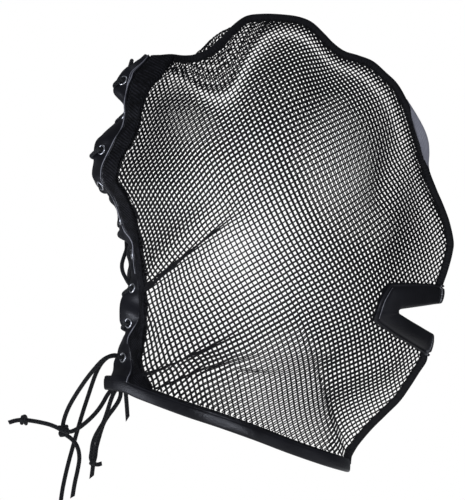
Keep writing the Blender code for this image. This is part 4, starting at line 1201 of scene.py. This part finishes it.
step = unit(near_edge - net_edge)
hem_left = strip("back_hem", net_edge + step * CLEARANCE, near_edge - step * CLEARANCE, outward,
                 hem_shape, hem_relief)
strip_left = strip("eyelet_strip", near_edge, rear_edge, outward, strip_shape, strip_relief)
piping_line = near_edge + outward * PIPING_OUT
frame_row = ORIGIN_PIXEL[1] - near_edge[:, 2] / PIXEL
shown_rows = [(frame_row > top) & (frame_row < foot) for top, foot in PIPING_SHOWN]
fold_out = FOLD_WIDE * np.sin(pi * np.linspace(0, 1, len(FOLD_ROWS)))[:, None]
fold_highlight_line = piping_line[FOLD_ROWS] + unit(rear_edge - near_edge)[FOLD_ROWS] * fold_out
pipe_left = joined("piping", [
    *(tube("edge", piping_line[shown], PIPING_RADIUS, sides=8) for shown in shown_rows),
    tube("fold", fold_highlight_line, FOLD_RADIUS, sides=8)])
for word, on_side in (("left", lambda mesh: mesh.copy()), ("right", flipped)):
    finished(f"back_hem_{word}_gathered", on_side(hem_left), gather, f"back_hem_{word}",
             slot="binding")
    finished(f"eyelet_strip_{word}_hide", on_side(strip_left), leather, f"eyelet_strip_{word}",
             slot="leather")
    finished(f"piping_{word}", on_side(pipe_left), piping, slot="binding")
print("back strips", len(strip_left.polygons), "faces each")

# %% [markdown]
# ## Eyelets
# A turned metal eyelet is a short barrel whose outer end is rolled over into a thin rim. Its
# profile is spun once, and a copy is set at each hole, turned out as the leather is there.


# %% Eyelets
EYELET_RIM, EYELET_HOLE = 0.0035, 0.0023


def eyelet_mesh():
    """One eyelet at the origin, its rim towards +Z."""
    work = bmesh.new()
    base = STRIP_THICKNESS / 2
    profile = [(EYELET_HOLE, -base), (EYELET_HOLE, base + 0.0004),
               (EYELET_HOLE + 0.0002, base + 0.0007), (EYELET_HOLE + 0.0005, base + 0.0009),
               (EYELET_RIM - 0.0004, base + 0.0008), (EYELET_RIM - 0.0001, base + 0.0005),
               (EYELET_RIM, base + 0.0001), (EYELET_HOLE + 0.0004, base + 0.0001),
               (EYELET_HOLE + 0.0004, -base)]
    spots = [work.verts.new((r, 0, h)) for r, h in profile]
    edges = [work.edges.new(pair) for pair in zip(spots, spots[1:] + spots[:1])]
    bmesh.ops.spin(work, geom=spots + edges, axis=(0, 0, 1), cent=(0, 0, 0), angle=tau, steps=28,
                   use_merge=True)
    bmesh.ops.recalc_face_normals(work, faces=work.faces)
    return baked("eyelet", work)


def set_at(mesh, centre, out):
    """A copy of a mesh at a place, its +Z turned outward."""
    turn = Vector(out).to_track_quat("Z", "Y").to_matrix().to_4x4()
    turn.translation = Vector(centre)
    copy = mesh.copy()
    copy.transform(turn)
    return copy


one = eyelet_mesh()
for word, side in (("left", 1), ("right", -1)):
    flip = np.array([side, 1, 1])
    names = [f"eyelet_{word}_{n}" for n in range(1, EYELETS_PER_SIDE + 1)]
    mesh = joined(f"eyelets_{word}", [set_at(one, centre * flip, out * flip)
                                      for centre, out, *_ in SEWN])
    finished(f"eyelets_{word}", mesh, metal, *names, slot="eyelet_metal")
print("eyelets", len(one.polygons), "faces each")

# %% [markdown]
# ## The held lace
# The lace zigzags through all the eyelets. It comes up through each hole from inside, bends over
# the strip's edge and crosses the gap to the next. One crossing hangs slack, as two loops.


# %% Held lace
# How far the outer and the inner strand of each crossing stand behind the leather's edge.
CROSS_OUT = [(-0.002, -0.004), (-0.001, -0.003), (-0.001, -0.003), (0.0016, -0.001),
             (0.0010, -0.001), (0, 0), (-0.002, -0.004), (-0.002, -0.004)]
# How far the strand stands beyond the edge where it bends round it, below each eyelet, and how
# far it stands off the leather at the eyelet.
EDGE_OUT = [-0.0014, -0.0012, 0.0022, -0.0008, -0.0010, 0, -0.0010, -0.0010]
STAND_OFF = [0.0024, 0.0010, 0.0028, 0.0010, 0.0010, 0.0010, 0.0014, 0.0022, 0.0028]
# One crossing hangs slack in two loops behind the leather: columns and rows of the frame.
SLACK = 5
SLACK_OUTER = [(126.8, 240), (126.4, 249), (124.0, 256.5), (122.0, 264), (122.6, 271), (125.8, 278),
               (130.0, 284.5)]
SLACK_INNER = [(130.0, 246), (128.4, 254), (130.2, 261), (130.6, 266), (129.2, 272), (129.0, 279),
               (132.0, 285)]
TOP_BAR = from_pixel(131.8, 60.6)
# How far below its eyelet the strand has gone round the edge, and the points of the drawn route.
UNDER_EDGE, HELD_POINTS = 0.0055, 1600


def by_edge(number, below, over, beyond):
    """A point by the leather's rear edge: below an eyelet, over the leather, beyond its edge."""
    centre, out, across, down, half = leather_at(row_at(SEWN[number][0][2] - below))
    return centre + across * (half + beyond) + out * over


def slack_loop(places, flip):
    """A strand that hangs across the gap, through places in the frame."""
    aside = np.linspace(1, -1, len(places)) * SEWN[SLACK][0][0] * 0.55
    return [np.array(from_pixel(column, row, x)) * np.array([flip[0], 1, 1])
            for (column, row), x in zip(places, aside)]


def lace_route():
    """Both strands down the back, joined by the bar at the top."""
    clear = STRIP_THICKNESS / 2 + LACE_DIAMETER * 0.45
    strands = []
    for first_side in (1, -1):
        route = []
        for k, (centre, out, across, down, half) in enumerate(SEWN):
            flip = np.array([first_side * (-1)**k, 1, 1])
            rise, aside = out * STAND_OFF[k], across * LACE_DIAMETER * 0.4
            if k > 0 and k - 1 != SLACK:
                start = by_edge(k - 1, below=UNDER_EDGE, over=-clear, beyond=-0.0010)
                end = by_edge(k, below=-0.0060, over=-clear, beyond=-0.0020)
                height = (start[2] + end[2]) / 2
                behind = CROSS_OUT[k - 1][0 if first_side * (-1)**k > 0 else 1]
                depth = np.interp(height, *traced(LEATHER_EDGE)) + behind
                route += [np.array([0, depth, height]), end * flip]
            route += [(centre - out * LACE_STAND_OFF * 0.85 + aside) * flip,
                      (centre - out * STRIP_THICKNESS) * flip]
            last = k == EYELETS_PER_SIDE - 1
            route.append((centre + out * (LACE_END_OUT if last else STAND_OFF[k] * 0.8)) * flip)
            if k == SLACK:
                outer = first_side * (-1)**k > 0
                route += slack_loop(SLACK_OUTER if outer else SLACK_INNER, flip)
            elif not last:
                route += [(centre + rise + aside) * flip,
                          by_edge(k, below=0.0028, over=STAND_OFF[k] * 0.75, beyond=-0.0016) * flip,
                          by_edge(k, below=0.0042, over=0.0004, beyond=EDGE_OUT[k]) * flip,
                          by_edge(k, below=UNDER_EDGE, over=-clear, beyond=-0.0010) * flip]
        strands.append(route)
    return strands[1][::-1] + [np.array(TOP_BAR)] + strands[0]


held = smooth_curve(lace_route(), HELD_POINTS)
finished("lace_braided", tube("lace", held, LACE_DIAMETER / 2), braid, "lace", slot="lace")
print("held lace", round(run_along(held)[-1], 3), "m")

# %% [markdown]
# ## The mouth frame
# One band of leather is folded to a frame round the mouth and sewn over the cut nets. It is a
# strip between an outer and an inner line that lie on the domes, and it crosses the middle in
# front. Its outer edge has a narrow turned flange.

# %% Mouth frame
FRAME_STEPS, ROUNDING_PASSES = 22, 6
mouth_rows = [(place(r[0], r[1])[1:], place(r[2], r[3])[1:]) for r in MOUTH]


def frame_line(which):
    """Points down one side of the frame's edge, its corners slightly rounded."""
    corners = np.array([row[which] for row in mouth_rows])
    dense = []
    for a, b in zip(corners, corners[1:]):
        dense += [a + (b - a) * t for t in np.linspace(0, 1, FRAME_STEPS, endpoint=False)]
    dense = np.array(dense + [corners[-1]])
    for _ in range(ROUNDING_PASSES):
        dense[1:-1] = dense[1:-1] * 0.5 + (dense[:-2] + dense[2:]) * 0.25
    return dense


def frame_ring(which):
    """An edge of the frame all the way round, over both domes."""
    half = skin(*frame_line(which).T, 1)
    half[0, 0] = half[-1, 0] = 0.0
    other = half[1:-1][::-1] * np.array([-1, 1, 1])
    return np.vstack([half, other])


outer, inner = frame_ring(0), frame_ring(1)
middle = (outer + inner) / 2
out = unit(middle * np.array([1, 0, 0]) + np.array([0, -HALF_WIDTH / 2, 0]))
frame_shape = section(MOUTH_BAND_WIDTH, MOUTH_BAND_THICKNESS, corner=0.0011, round_steps=4,
                      top_steps=14)


def frame_relief(run, share, rise):
    """A turned flange along the outer edge, a groove behind it and a soft crown to the band."""
    face = np.where(rise > 0, 1.0, 0.25)
    groove = -0.0011 * np.exp(-((share - 0.15) / 0.03)**2)
    crown = 0.0011 * np.sin(pi * np.clip((share - 0.15) / 0.85, 0, 1))**0.7
    return np.sign(rise) * face * (groove + crown)


shift = out * MOUTH_BAND_PROUD
mesh = strip("mouth_band", outer + shift, inner + shift, out, frame_shape, frame_relief,
             closed=True)
finished("mouth_frame", mesh, leather, "mouth_band", slot="leather")
print("mouth frame faces", len(mesh.polygons))

# %% [markdown]
# A light thread shows along the back of the frame, between the flange and the band.

# %% Stitch line of the frame
BACK_OF_FRAME, BEFORE_GROOVE, THREAD_RADIUS = slice(44, 88), 0.17, 0.00022
for word, flip in (("left", 1), ("right", -1)):
    line = outer + (inner - outer) * BEFORE_GROOVE + shift + out * MOUTH_BAND_THICKNESS * 0.42
    line = line[BACK_OF_FRAME] * np.array([flip, 1, 1])
    thread = tube("stitch", line, THREAD_RADIUS, sides=6)
    finished(f"frame_stitch_{word}", thread, piping, slot="leather")

# %% [markdown]
# ## The collar
# A narrow leather band, folded over the net's lower edge and stitched near its top, closes the
# neck. Its back ends are rounded and stand apart.

# %% Collar
COLLAR_ROWS, COLLAR_TURN = 260, 1.03
turns = np.linspace(-COLLAR_TURN, COLLAR_TURN, COLLAR_ROWS)
plan = np.array([collar_plan(t) for t in turns])
top = np.column_stack([plan, collar_top_height(plan[:, 1])])
low = top - np.array([0, 0, COLLAR_HEIGHT])
chord = np.gradient(plan, axis=0)
out = np.column_stack([chord[:, 1], -chord[:, 0], np.zeros(len(plan))])
middle = np.array([0, collar_plan(0.5)[1], 0])
out *= np.sign((out * (top * np.array([1, 1, 0]) - middle)).sum(axis=1))[:, None]
collar_shape = section(COLLAR_HEIGHT, COLLAR_THICKNESS, corner=0.0013, round_steps=4, top_steps=12)


def collar_relief(run, share, rise):
    """A stitched groove under the top edge, a full middle and slow ripples."""
    groove = -0.0004 * np.exp(-((share - 0.15) / 0.04)**2)
    crown = 0.0004 * np.sin(pi * np.clip(share, 0, 1))
    ripple = 0.00025 * np.sin(run * 140) * np.sin(run * 61 + 1) * np.sin(pi * np.clip(share, 0, 1))
    end = 0.0011 * (np.exp(-run / 0.006) + np.exp(-(run[-1] - run) / 0.006))
    return np.sign(rise) * (groove + crown + ripple + end)


mesh = strip("collar", top, low, unit(out), collar_shape, collar_relief)
finished("collar_band", mesh, leather, "collar", slot="leather")
print("collar faces", len(mesh.polygons))
